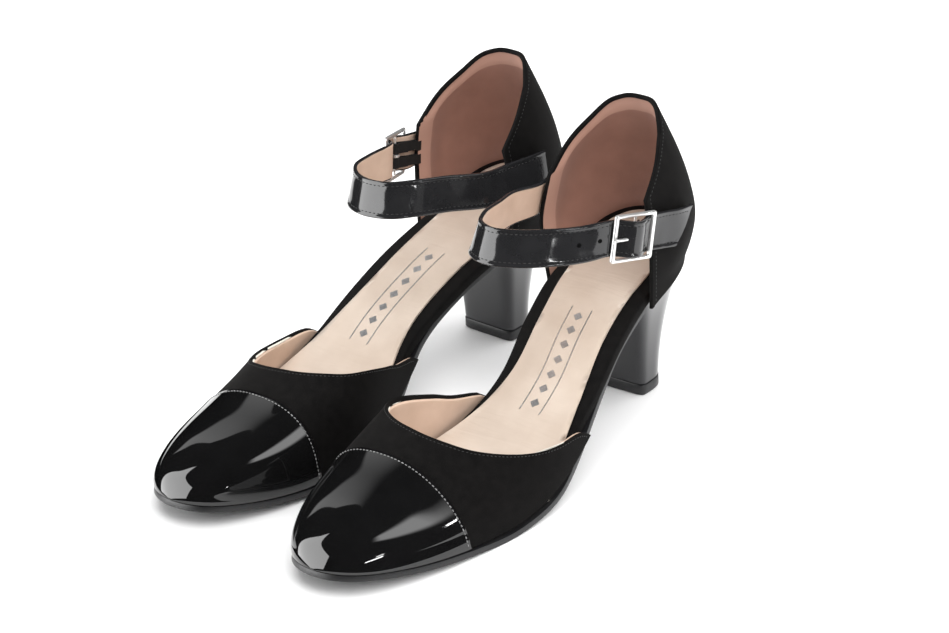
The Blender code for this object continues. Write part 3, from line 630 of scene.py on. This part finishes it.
def make_quarters():
    outer, inner = cup_grid(SKIN_OUT), cup_grid(SKIN_OUT - SKIN_THICK)
    build("quarter_skin", sheet_solid(outer, inner), SUEDE, "shoe", ["quarter"], "suede", bevel=0.3)
    lining_out, lining_in = cup_grid(2.0), cup_grid(0.0)
    # The lining thins out towards its top and front edges.
    thin = np.zeros((QUARTER_ROWS + 1, QUARTER_COLUMNS + 1))
    thin[-1], thin[:, 0], thin[:, -1] = 1, 1, 1
    thin[-2, 1:-1], thin[:-1, 1], thin[:-1, -2] = 0.75, 0.75, 0.75
    thin[-3, 2:-2], thin[:-2, 2], thin[:-2, -3] = 0.4, 0.4, 0.4
    lining_in += (cup_grid(1.75) - lining_in) * thin[..., None]
    solid, mark = sheet_solid(lining_out, lining_in), band_mark(lining_in)
    looks = {"bevel": 0.25, "attribute": mark}
    build("quarter_lining_skin", solid, QUARTER_LINING, "shoe", ["quarter_lining"], "lining_leather", **looks)
    normals = surface_normals(outer)
    border = lambda grid: np.concatenate([grid[1:-1, 1], grid[-2, 1:-1], grid[-2:0:-1, -2]])
    looks = {"pitch": 1.8, "length": 1.25, "radius": 0.19}
    stitches("quarter_stitches", border(outer), border(normals), THREAD, "shoe", **looks)
    make_quarter_edge(outer, lining_in)


def band_mark(lining):
    """1 where the lining's points are near its top or front edge, and 0 elsewhere, for both of its faces."""
    down = lining[-1, :, 2] - lining[:, :, 2]
    from_front = (1 - np.abs(np.linspace(1, -1, QUARTER_COLUMNS + 1))) * SIDE_LENGTH
    near = np.minimum(down, from_front[None, :] + 1.5)
    mark = (near < BAND_WIDTH).astype(float).reshape(-1)
    return np.concatenate([mark, mark])


def make_quarter_edge(outer, lining_in):
    """The suede turned in over the edge of the quarter, up the front and over the top."""
    pick = lambda grid, k: np.concatenate([grid[:, k], grid[-1 - k, 1:-1], grid[::-1, -1 - k]])
    a, b, behind = pick(outer, 0), pick(lining_in, 0), pick(outer, 1)
    rings = []
    for p, q, r in zip(a, b, behind):
        across = (p - q) / np.linalg.norm(p - q)
        away = p - r
        away -= across * away.dot(across)
        away /= np.linalg.norm(away)
        width = np.linalg.norm(p - q)
        ring = []
        for t in np.radians(np.linspace(-90, 90, 11)):
            bulge = away * 0.75 * max(math.cos(t), 0.0) ** 0.7
            ring.append(q + across * width * (0.5 + 0.5 * math.sin(t)) + bulge)
        ring += [p - away * 1.2 + across * 0.05, p - away * 1.2 - across * 0.4]
        ring += [q - away * 0.9 + across * 0.3, q - away * 0.9 - across * 0.12]
        rings.append(ring)
    build("quarter_fold", tube_solid(rings), SUEDE, "shoe", slot="suede", sharp=60)


# ---------------------------------------------------------------- bottom

STATIONS = 110
OUTSOLE_INSET = ((40.0, 0.4), (98.0, 0.4), (124.0, -2.6), (240.0, -2.9))
COVER_TUCK = ((0.0, 0.0), (93.0, 0.0), (103.0, 0.8), (130.0, 1.0))
COVER_ENDS_U = (121.5, 118.5)
FOIL_HEIGHTS = (6.02, 6.33)  # above the insole's underside
SOCK_INSET = ((0.0, 4.5), (108.0, 4.5), (128.0, 2.0), (190.0, 2.4), (222.0, 8.0), (240.0, 11.0))


def plate_grids(inset, low, high, first_u, last_u, across=14, crown=0.0):
    """Lower and upper face of a sheet that follows the bottom of the last."""
    start, end = share_of(first_u), share_of(last_u)
    lower, upper = [], []
    for share in np.linspace(start, end, STATIONS + 1):
        out = -float(smooth(inset, station(share)))
        a, b = bed_edge(share, 1, out), bed_edge(share, -1, out)
        row = [[], []]
        for t in np.linspace(0, 1, across + 1):
            u, v = a + (b - a) * t
            row[0].append(above(u, v, low))
            row[1].append(above(u, v, high + crown * 4 * t * (1 - t)))
        lower.append(row[0])
        upper.append(row[1])
    return np.array(lower), np.array(upper)


def make_bottom():
    lower, upper = plate_grids(SOCK_INSET, 5.2, 6.0, HEEL_U, TOE_U, crown=0.25)
    build("sock_skin", sheet_solid(upper, lower), SOCK, "shoe", ["sock_lining"], "sock_leather", bevel=0.25)
    lower, upper = plate_grids(OUTSOLE_INSET, -2.7, -0.2, 48.5, TOE_U, across=8)
    build("outsole_skin", sheet_solid(upper, lower), RUBBER, "shoe", ["outsole"], "outsole_rubber", bevel=0.5)
    make_cover()
    make_foil_mark()


def make_cover():
    """Suede wrapped round the edge of the insole board."""
    ring = [(-7.4, 0.35), (-0.9, 0.3), (-0.45, 0.55), (-0.28, 1.1), (-0.28, 4.0), (-0.5, 4.6), (-1.0, 4.9)]
    ring += [(-8.6, 4.9), (-8.6, 4.0), (-1.5, 3.95), (-1.25, 3.8), (-1.25, 1.4), (-1.5, 1.25), (-7.4, 1.25)]
    outer_end, inner_end = (share_of(u) for u in COVER_ENDS_U)
    turns = np.concatenate([np.linspace(outer_end, 0, 70), -np.linspace(0, inner_end, 68)[1:]])
    rings = []
    for turn in turns:
        points = []
        tuck = float(smooth(COVER_TUCK, station(abs(turn))))
        for out, height in ring:
            u, v = bed_edge(abs(turn), 1 if turn >= 0 else -1, out - tuck)
            points.append(above(u, v, height))
        rings.append(points)
    build("insole_cover_skin", tube_solid(rings), SUEDE, "shoe", ["insole_cover"], "suede", sharp=50)


def make_foil_mark():
    """A plain foil mark on the sock: two fine rules with small diamonds between them."""
    points, faces, shapes = [], [], []
    us = np.linspace(62.0, 108.0, 24)
    for low, high in ((-4.6, -4.1), (5.1, 5.6)):
        shapes.append([(u, low) for u in us] + [(u, high) for u in us[::-1]])
    for u in np.linspace(66, 104, 7):
        shapes.append([(u - 1.9, 0.5), (u, -1.7), (u + 1.9, 0.5), (u, 2.7)])
    for shape in shapes:
        start, n = len(points), len(shape)
        for height in FOIL_HEIGHTS:
            points += [above(u, v + middle_v(u), height) for u, v in shape]
        faces.append(tuple(start + k for k in range(n))[::-1])
        faces.append(tuple(start + n + k for k in range(n)))
        for k in range(n):
            a, b = start + k, start + (k + 1) % n
            faces.append((a, b, b + n, a + n))
    build("foil_mark", (np.array(points), faces), FOIL, "shoe", slot="sock_leather", sharp=30)


def middle_v(u):
    share = share_of(u)
    return (feather_edge(share, 1)[1] + feather_edge(share, -1)[1]) / 2


# ---------------------------------------------------------------- heel

HEEL_POINTS = 120
HEEL_MIDDLE_V = 0.6
BREAST_POWER, BACK_POWER = 7, 2.5  # how square the sections are
SEAT_STEP = 2.6  # the block's rim, outside the part that carries the heel seat
# The top piece from the floor up: height, and growth of its outline
TOP_PIECE_SHAPE = (
    (0.0, -0.35), (0.12, -0.05), (0.5, 0.2),
    (TOP_PIECE - 0.4, 0.2), (TOP_PIECE - 0.1, 0.05), (TOP_PIECE, -0.2),
)


def heel_outline(back_u, breast_u, half_width, grow=0.0):
    """A section of the heel: nearly square at its breast and rounder at its back."""
    middle = 0.62 * breast_u + 0.38 * back_u
    points = []
    for i in range(HEEL_POINTS):
        turn = 2 * math.pi * (i + 0.5) / HEEL_POINTS
        across, along = math.sin(turn), math.cos(turn)
        power = 2 / BREAST_POWER if along > 0 else 2 / BACK_POWER
        reach = breast_u - middle if along > 0 else middle - back_u
        u = middle + (reach + grow) * math.copysign(abs(along) ** power, along)
        v = (half_width + grow) * math.copysign(abs(across) ** power, across)
        points.append((u, v + HEEL_MIDDLE_V))
    return points


def make_heel():
    table = np.array(HEEL_SECTIONS)
    low = TOP_PIECE + GAP
    rings = []
    for share in np.linspace(0, 1, 29):
        sizes = [float(smooth(list(zip(table[:, 0], table[:, k])), share)) for k in (1, 2, 3)]
        rings.append([(u, v, low + (feather(u) - 0.35 - low) * share) for u, v in heel_outline(*sizes)])
    seat = heel_outline(*HEEL_SECTIONS[-1][1:], grow=-SEAT_STEP)
    rings.append([(u, v, feather(u) - 0.7) for u, v in seat])
    rings.append([(u, v, bed(u) - 0.35) for u, v in seat])
    build("heel_skin", tube_solid(rings), HEEL, "shoe", ["heel_block"], "heel_lacquer", sharp=50)
    foot = HEEL_SECTIONS[0][1:]
    rings = [[(u, v, z) for u, v in heel_outline(*foot, grow=grow)] for z, grow in TOP_PIECE_SHAPE]
    build("top_piece_skin", tube_solid(rings), RUBBER, "shoe", ["top_piece"], "top_piece_rubber", sharp=50)


# ---------------------------------------------------------------- ankle strap and buckle


def buckle_axes():
    along = np.array(BUCKLE_ALONG) / np.linalg.norm(BUCKLE_ALONG)
    outward_axis = np.array([-along[1], along[0], 0.0])
    outward_axis /= np.linalg.norm(outward_axis)
    up = np.cross(outward_axis, along)
    return along, outward_axis, up * math.copysign(1, up[2])


def buckle_point(along, out, high=0.0):
    axes = buckle_axes()
    return np.array(BUCKLE_AT) + along * axes[0] + out * axes[1] + high * axes[2]


def weave(along):
    return 0.5 + 2.7 * math.cos(math.pi * along / BAR_PITCH)


def cup_point(side, u, z, out):
    turns = np.linspace(0.3, 1.0, 141)
    us = [cup(side * turn, z, out)[0] for turn in turns]
    return np.array(cup(side * float(np.interp(u, us, turns)), z, out))


def strap_on_cup(side, u, z):
    proud = SKIN_OUT + STRAP_CLEAR + 0.85
    low, high = (abs(cup_point(side, u, z + end * STRAP_WIDTH / 2, proud)[1]) for end in (-1, 1))
    lean = math.degrees(math.atan2(low - high, STRAP_WIDTH))
    return (u, side * (low + high) / 2, z, lean)


def strap_path(loop):
    path = [strap_on_cup(1, u, z) for u, z in TAIL]
    path += [(*buckle_point(along, weave(along)), 0.0) for along in np.linspace(-BAR_PITCH, BAR_PITCH, 13)]
    path += [(*buckle_point(12.2, -2.1), 0.0)]
    path += list(loop)
    path += [strap_on_cup(-1, u, z) for u, z in SEWN_END]
    return np.array(path)


def strap_frames(loop):
    """Points along the strap with its running, outward and up directions."""
    path = strap_path(loop)
    lengths = np.r_[0, np.cumsum(np.linalg.norm(np.diff(path[:, :3], axis=0), axis=1))]
    fine = np.linspace(0, lengths[-1], int(lengths[-1] / STRAP_STEP) + 1)
    curve = np.array([smooth(list(zip(lengths, path[:, k])), fine) for k in range(4)]).T
    for _ in range(3):
        curve[1:-1] = (curve[:-2] + 2 * curve[1:-1] + curve[2:]) / 4
    runs = np.gradient(curve[:, :3], fine, axis=0)
    along, _, up_axis = buckle_axes()
    frames = []
    for point, run in zip(curve, runs):
        run = run / np.linalg.norm(run)
        flat = np.array([-run[1], run[0], 0.0]) / math.hypot(run[0], run[1])
        up = np.cross(flat, run)
        up *= math.copysign(1, up[2])
        near = abs(np.dot(point[:3] - BUCKLE_AT, along)) if point[1] > 0 else 99.0
        mix = min(max((BAR_PITCH + 5 - near) / 5, 0), 1)
        up = up * (1 - mix) + up_axis * mix
        up -= run * up.dot(run)
        up /= np.linalg.norm(up)
        side = np.cross(run, up)
        side *= math.copysign(1, np.dot(side, flat))
        lean = math.radians(point[3])
        outward_dir = math.cos(lean) * side + math.sin(lean) * up
        frames.append((point[:3], run, outward_dir, math.cos(lean) * up - math.sin(lean) * side))
    return frames


# Section of the strap: across (share of the half width) and outwards (mm).
# Its edges are folded and stand a little proud.
STRAP_SECTION = (
    (-0.93, -0.45), (-0.95, -0.6), (-0.98, -0.58), (-1.0, -0.4), (-1.0, 0.1), (-1.0, 0.75),
    (-0.985, 0.98), (-0.95, 1.1), (-0.9, 1.12), (-0.85, 1.05), (-0.8, 0.92), (-0.7, 0.86),
    (-0.45, 0.9), (0.0, 0.92), (0.45, 0.9), (0.7, 0.86), (0.8, 0.92), (0.85, 1.05),
    (0.9, 1.12), (0.95, 1.1), (0.985, 0.98), (1.0, 0.75), (1.0, 0.1), (1.0, -0.4),
    (0.98, -0.58), (0.95, -0.6), (0.93, -0.45), (0.93, 0.0), (0.0, 0.0), (-0.93, 0.0),
)
LINING_SECTION = (
    (-0.9, -0.82), (-0.915, -0.65), (-0.915, -0.05), (0.0, -0.05),
    (0.915, -0.05), (0.915, -0.65), (0.9, -0.82), (0.0, -0.85),
)
# A hole from its middle outwards: radius, and height over the strap's middle layer
HOLE_SHAPE = ((0.05, 0.95), (0.5, 0.955), (0.72, 0.97), (0.84, 1.0), (0.94, 0.96), (1.0, 0.8))
TIP_SLANT = 13.0
TIP_LENGTH = 26.0
SEAM_INSET = 2.0  # of the strap's stitches


def tip_skew(run_so_far, share):
    """How far a point of the free end moves for the slanted tip; share runs from -1 below to 1 above."""
    return TIP_SLANT * (1 - share) / 2 * max(1 - run_so_far / TIP_LENGTH, 0)


def strap_rings(section, frames):
    """Rings along the strap; its free tip is cut on the slant, longest at the top."""
    half = STRAP_WIDTH / 2
    places = np.array([f[0] for f in frames])
    steps = np.arange(len(frames)) * STRAP_STEP
    rings = []
    for step, (point, _, out_dir, up) in zip(steps, frames):
        ring = []
        for across, out in section:
            at = step + tip_skew(step, across)
            base = along_path(places, steps, at) if at > step else point
            ring.append(base + up * half * across + out_dir * out)
        rings.append(ring)
    return rings


def make_strap(side, loop):
    frames = strap_frames(loop)
    only = {"sides": (side,), "slot": "patent"}
    skin = tube_solid(strap_rings(STRAP_SECTION, frames))
    pieces = build("strap_skin", skin, STRAP_PATENT_PAINTED_REFLECTION, None, ["ankle_strap"], sharp=50, **only)
    skin = tube_solid(strap_rings(LINING_SECTION, frames))
    pieces += build(
        "strap_lining_skin", skin, LINING, None, ["strap_lining"], "sock_leather", sharp=50, sides=(side,)
    )
    share = 1 - SEAM_INSET / (STRAP_WIDTH / 2)
    line = np.array(strap_rings([(-share, 0.88), (share, 0.88)], frames))
    outs = np.array([f[2] for f in frames])
    # One seam runs round the free tip and along both edges, and a short one crosses the sewn end.
    first, last = 3, len(frames) - 5
    shares = np.linspace(0, 1, 7)[:, None]
    crossing = lambda at: line[at, 0] + (line[at, 1] - line[at, 0]) * shares
    around = np.concatenate([line[:first:-1, 0], crossing(first), line[first + 1 : -3, 1]])
    around_out = np.concatenate([outs[:first:-1], [outs[first]] * 7, outs[first + 1 : -3]])
    looks = {"pitch": 2.0, "length": 1.45, "radius": 0.22, **only}
    pieces += stitches("strap_stitches", around[3:], around_out[3:], THREAD, None, **looks)
    pieces += stitches("strap_end_stitches", crossing(last), [outs[last]] * 7, THREAD, None, **looks)
    for number, along in enumerate(HOLES_AT, 1):
        pieces += make_hole(f"strap_hole_{number}", frames, along, **only)
    for piece in pieces:
        bend_strap(piece)


def make_hole(name, frames, along, **only):
    """A punched hole: a dish with a pressed rim, just proud of the strap, painted near-black as the shade
    inside the hole.
    """
    start = buckle_point(BAR_PITCH, 0)
    ahead = [f for f in frames if f[0][0] > start[0] and f[0][1] > -10]
    distance = lambda f: abs(np.linalg.norm(f[0] - start) - (along - BAR_PITCH))
    point, run, out_dir, up = min(ahead, key=distance)
    rings = []
    for radius, out in HOLE_SHAPE:
        centre = point + out_dir * out
        rings.append([centre + radius * (math.cos(t) * run + math.sin(t) * up) for t in circle(20)])
    return build(name, tube_solid(rings), PAINTED_SHADE_HOLE, None, sharp=180, **only)


def bend_strap(piece):
    """Bakes the piece's placement into its mesh; the strap keeps the shape it was built in, sewn to the
    quarter.
    """
    side = "left" if piece.name.startswith("left") else "right"
    start, end = place([(45.0, -33.0, 87.0), (57.0, -21.0, 87.0)], side)
    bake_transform(piece)


def rectangle(length, height, radius, steps=6):
    """The outline of a rectangle with rounded corners."""
    points = []
    for corner in range(4):
        sx = 1 if corner in (0, 3) else -1
        sy = 1 if corner in (0, 1) else -1
        for step in range(steps + 1):
            turn = (corner + step / steps) * math.pi / 2
            x = sx * (length / 2 - radius) + radius * math.cos(turn)
            y = sy * (height / 2 - radius) + radius * math.sin(turn)
            points.append((x, y))
    return points


def make_buckle():
    outer = rectangle(BUCKLE_LENGTH, BUCKLE_HEIGHT, 1.2)
    window = (BUCKLE_LENGTH - 2 * BAR, BUCKLE_HEIGHT - 2 * SIDE_BAR)
    inner = rectangle(*window, 0.5)
    half = BAR_THICK / 2
    # From the outer edge (0) to the window (1), with the face and the back a little crowned
    section = ((0.0, -0.6), (0.12, -1), (0.88, -1), (1.0, -0.6), (1.0, 0.55))
    section += ((0.85, 1), (0.5, 1.12), (0.15, 1), (0.0, 0.55))
    rings = []
    for (x0, y0), (x1, y1) in zip(outer, inner):
        rings.append([buckle_point(x0 + (x1 - x0) * t, half * z, y0 + (y1 - y0) * t) for t, z in section])
    rings.append(rings[0])
    points, faces = tube_solid(rings)
    faces = faces[:-2]
    count = len(points)
    bar = []
    for y in np.linspace(-window[1] / 2 - 0.3, window[1] / 2 + 0.3, 9):
        bar.append([buckle_point(PIN_RADIUS * math.cos(t), PIN_RADIUS * math.sin(t), y) for t in circle(14)])
    bar_points, bar_faces = tube_solid(bar)
    points = np.concatenate([points, bar_points])
    faces = faces + [tuple(i + count for i in face) for face in bar_faces]
    build("buckle_skin", (points, faces), CHROME, "buckle", ["buckle_frame"], "buckle_metal", sharp=55)
    make_prong()
    make_tab()


def make_prong():
    """The prong: a wire curled round the pin bar, thinner at both ends."""
    ring = np.radians(np.arange(350, 89, -13))
    path = [(LOOP_RADIUS * math.cos(turn), LOOP_RADIUS * math.sin(turn)) for turn in ring]
    reach = BUCKLE_LENGTH / 2
    path += [(x, LOOP_RADIUS + out) for x, out in ((2.5, 0.02), (5.5, 0.03), (8.5, 0.02))]
    path += [(reach - 0.6, LOOP_RADIUS + 0.05), (reach - 0.2, LOOP_RADIUS + 0.05)]
    path = np.array(path)
    rings = []
    for number, ((x, z), (dx, dz)) in enumerate(zip(path, np.gradient(path, axis=0))):
        length = math.hypot(dx, dz)
        size = PRONG_RADIUS * (0.45 if number in (0, len(path) - 1) else 1.0)
        spots = [(size * math.cos(t) / length, size * 1.15 * math.sin(t)) for t in circle(16)]
        rings.append([buckle_point(x - out * dz, z + out * dx, high) for out, high in spots])
    build("prong_skin", tube_solid(rings), CHROME, "prong", ["buckle_prong"], "buckle_metal", sharp=60)


def make_tab():
    """Elastic tab out of the quarter and round the pin bar, split for the prong."""
    z = BUCKLE_AT[2] - 3.0
    shares = np.linspace(-0.5, 0.5, 13)
    sewn = (40.0, 42.0, 44.0, 46.0, 47.5)
    rows = [[cup_point(1, u, z + share * TAB_WIDTH, 1.7) for share in shares] for u in sewn]
    path = [(-9.9, -5.0), (-8.4, -4.3), (-7.0, -3.5), (-5.6, -2.6), (-4.0, -1.2), (-2.6, 0.1)]
    wrap = np.radians(range(140, -131, -15))
    path += [(LOOP_RADIUS * math.cos(turn), LOOP_RADIUS * math.sin(turn)) for turn in wrap]
    path += [(-3.2, -2.5), (-5.4, -3.9)]
    rows += [[buckle_point(x, out, share * TAB_WIDTH) for share in shares] for x, out in path]
    rows = np.array(rows)
    normals = np.cross(np.gradient(rows, axis=0), np.gradient(rows, axis=1))
    normals /= np.linalg.norm(normals, axis=2)[..., None]
    upper, lower = rows + normals * TAB_HALF_THICK, rows - normals * TAB_HALF_THICK
    for name, columns, nodes in (("a", slice(0, 6), ["buckle_tab"]), ("b", slice(7, 13), [])):
        half = sheet_solid(upper[:, columns], lower[:, columns])
        build(f"tab_skin_{name}", half, ELASTIC, "shoe", nodes, "elastic", sharp=60)


def dress_hidden_nodes():
    """Gives the inner pieces their finishes. They keep their plain solids."""
    for side in SIDES:
        for node, finish in HIDDEN.items():
            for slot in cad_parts[f"{side}_{node}"].material_slots:
                slot.material = finish


# ---------------------------------------------------------------- stage, light and camera

FLOOR_SIZE = 6.0
TOES = (0.045, -0.1, 0.02)
CARD_CELLS = 16
# What only the gloss shows: corners as directions from the toes (azimuth and elevation in degrees),
# and strength
SPARKLES = (
    (((-24, 1.5), (-8, 8), (-8, 9.6), (-23, 3.4)), 40),
    (((-12, 10.5), (-7, 12.5), (-7, 13.5), (-12, 11.5)), 30),
    (((21, 15), (23, 15), (23, 17), (21, 17)), 50),
    (((25, 17), (26.5, 17), (26.5, 18.5), (25, 18.5)), 40),
)
# The camera turns round its target, in degrees and mm; its focal length is in pixels of the picture
CAMERA_AZIMUTH, CAMERA_ELEVATION, CAMERA_ROLL = (math.radians(turn) for turn in (37.349, 26.405, -2.528))
CAMERA_DISTANCE = 1285.883
CAMERA_FOCAL = 3627.556
CAMERA_TARGET = (86.236, -246.343, 145.858)
PICTURE_WIDTH = 949
SENSOR = 36


def stage_mesh(name, points, faces, finish):
    mesh = bpy.data.meshes.new(name)
    mesh.from_pydata(points, [], faces)
    mesh.materials.append(finish)
    obj = bpy.data.objects.new(name, mesh)
    bpy.context.scene.collection.objects.link(obj)
    return obj


def make_floor():
    """A wide white floor. The gloss shows only the part near the toes and the part behind them."""
    white = material("floor", (0.93, 0.93, 0.93), (0.96, 0.96, 0.96), 3, 0.9, 20, 0.0, Specular_IOR_Level=0.1)
    square = [(x * FLOOR_SIZE, y * FLOOR_SIZE, -0.0002) for x, y in ((-1, -1), (1, -1), (1, 1), (-1, 1))]
    stage_mesh("floor", square, [(0, 1, 2, 3)], white).visible_glossy = False
    shares = np.linspace(share_of(140.0), 1, 24)
    outline = [edge(share, 1, NEAR_FLOOR) for share in shares]
    outline += [edge(share, -1, NEAR_FLOOR) for share in shares[::-1][:10]]
    outline = [(u, v, -0.1) for u, v in outline]
    near = [tuple(p) for p in np.concatenate([place(outline, "left"), place(outline[::-1], "right")])]
    near += [(-0.5, near[-1][1], -0.0001), (-0.5, 0.6, -0.0001)]
    near += [(0.6, 0.6, -0.0001), (0.6, near[0][1], -0.0001)]
    card = stage_mesh("near_floor", near, [tuple(range(len(near)))[::-1]], white)
    card.visible_camera = card.visible_diffuse = card.visible_shadow = False


def area_light(name, at, target, size, energy):
    """A soft lamp that the gloss doesn't show."""
    light = bpy.data.lights.new(name, "AREA")
    light.shape = "RECTANGLE"
    light.size, light.size_y = size
    light.energy = energy
    obj = bpy.data.objects.new(name, light)
    bpy.context.scene.collection.objects.link(obj)
    obj.location = at
    obj.rotation_euler = (Vector(target) - Vector(at)).to_track_quat("-Z", "Y").to_euler()
    obj.visible_glossy = False


def glow_card(name, corners, strength, fade):
    """A lamp panel that only the gloss shows. Its corners are directions seen from the toes, in degrees."""
    points, shares = [], []
    for i in range(CARD_CELLS + 1):
        for j in range(CARD_CELLS + 1):
            s, t = i / CARD_CELLS, j / CARD_CELLS
            low = np.array(corners[0]) * (1 - s) + np.array(corners[1]) * s
            high = np.array(corners[3]) * (1 - s) + np.array(corners[2]) * s
            azimuth, elevation = np.radians(low * (1 - t) + high * t)
            flat = math.cos(elevation)
            way = np.array([flat * math.cos(azimuth), flat * math.sin(azimuth), math.sin(elevation)])
            points.append(tuple(np.array(TOES) + CARD_DISTANCE * way))
            shares.append(fade(s, t))
    glow = bpy.data.materials.new(name)
    glow.use_nodes = True
    tree = glow.node_tree
    tree.nodes.remove(tree.nodes["Principled BSDF"])
    share = add_node(tree, "Attribute")
    share.attribute_name = "mark"
    level = add_node(tree, "MapRange", Value=share.outputs["Fac"], To_Max=strength)
    emission = add_node(tree, "Emission", Strength=level.outputs["Result"])
    tree.links.new(emission.outputs["Emission"], tree.nodes["Material Output"].inputs["Surface"])
    card = stage_mesh(name, points, grid_faces(CARD_CELLS + 1, CARD_CELLS + 1), glow)
    set_mark(card.data, shares)
    card.visible_camera = card.visible_diffuse = card.visible_shadow = False
    card.visible_transmission = False


def soft(x):
    x = min(max(x, 0), 1)
    return x * x * (3 - 2 * x)


def make_light():
    world = bpy.data.worlds.new("studio")
    bpy.context.scene.world = world
    world.use_nodes = True
    world.node_tree.nodes["Background"].inputs["Color"].default_value = (1, 1, 1, 1)
    world.node_tree.nodes["Background"].inputs["Strength"].default_value = 0.7
    world.cycles_visibility.glossy = False
    area_light("overhead", (0.1, 0.1, 1.9), (0, 0, 0), (2.4, 2.4), 34)
    area_light("key", (1.2, -0.6, 1.3), (0, 0, 0.03), (0.9, 0.9), 10)
    for number, (x, y) in enumerate(((-1.5, -0.6), (0.7, 1.4), (-0.7, 1.3), (1.5, 0.5)), 1):
        area_light(f"fill_{number}", (x, y, 0.45), (0, 0, 0.02), (1.0, 0.7), 9)
    whole = lambda s, t: 1.0
    edges = lambda s, t: soft(min(s, 1 - s) * 5) * soft(min(t, 1 - t) * 4)
    fading = lambda s, t: (1 - soft(s)) * soft(t * 8)
    glow_card("toe_glow", ((-163, -20), (-100, -20), (-86, 16), (-150, 66)), 5.5, whole)
    glow_card("side_glow", ((-8, 42), (26, 18), (31, 52), (-4, 50)), 3.6, edges)
    glow_card("inner_glow", ((168, 20), (128, 55), (118, 75), (158, 52)), 1.3, fading)
    for letter, (corners, strength) in zip("abcd", SPARKLES):
        glow_card(f"sparkle_{letter}", corners, strength, whole)


def make_camera():
    flat, height = math.cos(CAMERA_ELEVATION), math.sin(CAMERA_ELEVATION)
    target = np.array(CAMERA_TARGET) + (*LEFT_AT, 0.0)
    back = np.array([math.sin(CAMERA_AZIMUTH) * flat, -math.cos(CAMERA_AZIMUTH) * flat, height])
    x = np.cross((0, 0, 1), back)
    x /= np.linalg.norm(x)
    y = np.cross(back, x)
    right = math.cos(CAMERA_ROLL) * x + math.sin(CAMERA_ROLL) * y
    up = -math.sin(CAMERA_ROLL) * x + math.cos(CAMERA_ROLL) * y
    camera = bpy.data.cameras.new("camera")
    camera.sensor_width = SENSOR
    camera.lens = CAMERA_FOCAL * SENSOR / PICTURE_WIDTH
    camera.clip_end = 20
    obj = bpy.data.objects.new("camera", camera)
    bpy.context.scene.collection.objects.link(obj)
    matrix = Matrix(np.stack([right, up, back], 1).tolist()).to_4x4()
    matrix.translation = Vector(((target + back * CAMERA_DISTANCE) * MM).tolist())
    obj.matrix_world = matrix
    bpy.context.scene.camera = obj


def main():
    make_camera()
    bpy.context.scene.view_settings.view_transform = "Standard"
    make_uppers()
    make_quarters()
    make_bottom()
    make_heel()
    make_strap("left", LEFT_LOOP)
    make_strap("right", RIGHT_LOOP)
    make_buckle()
    dress_hidden_nodes()
    make_floor()
    make_light()


main()
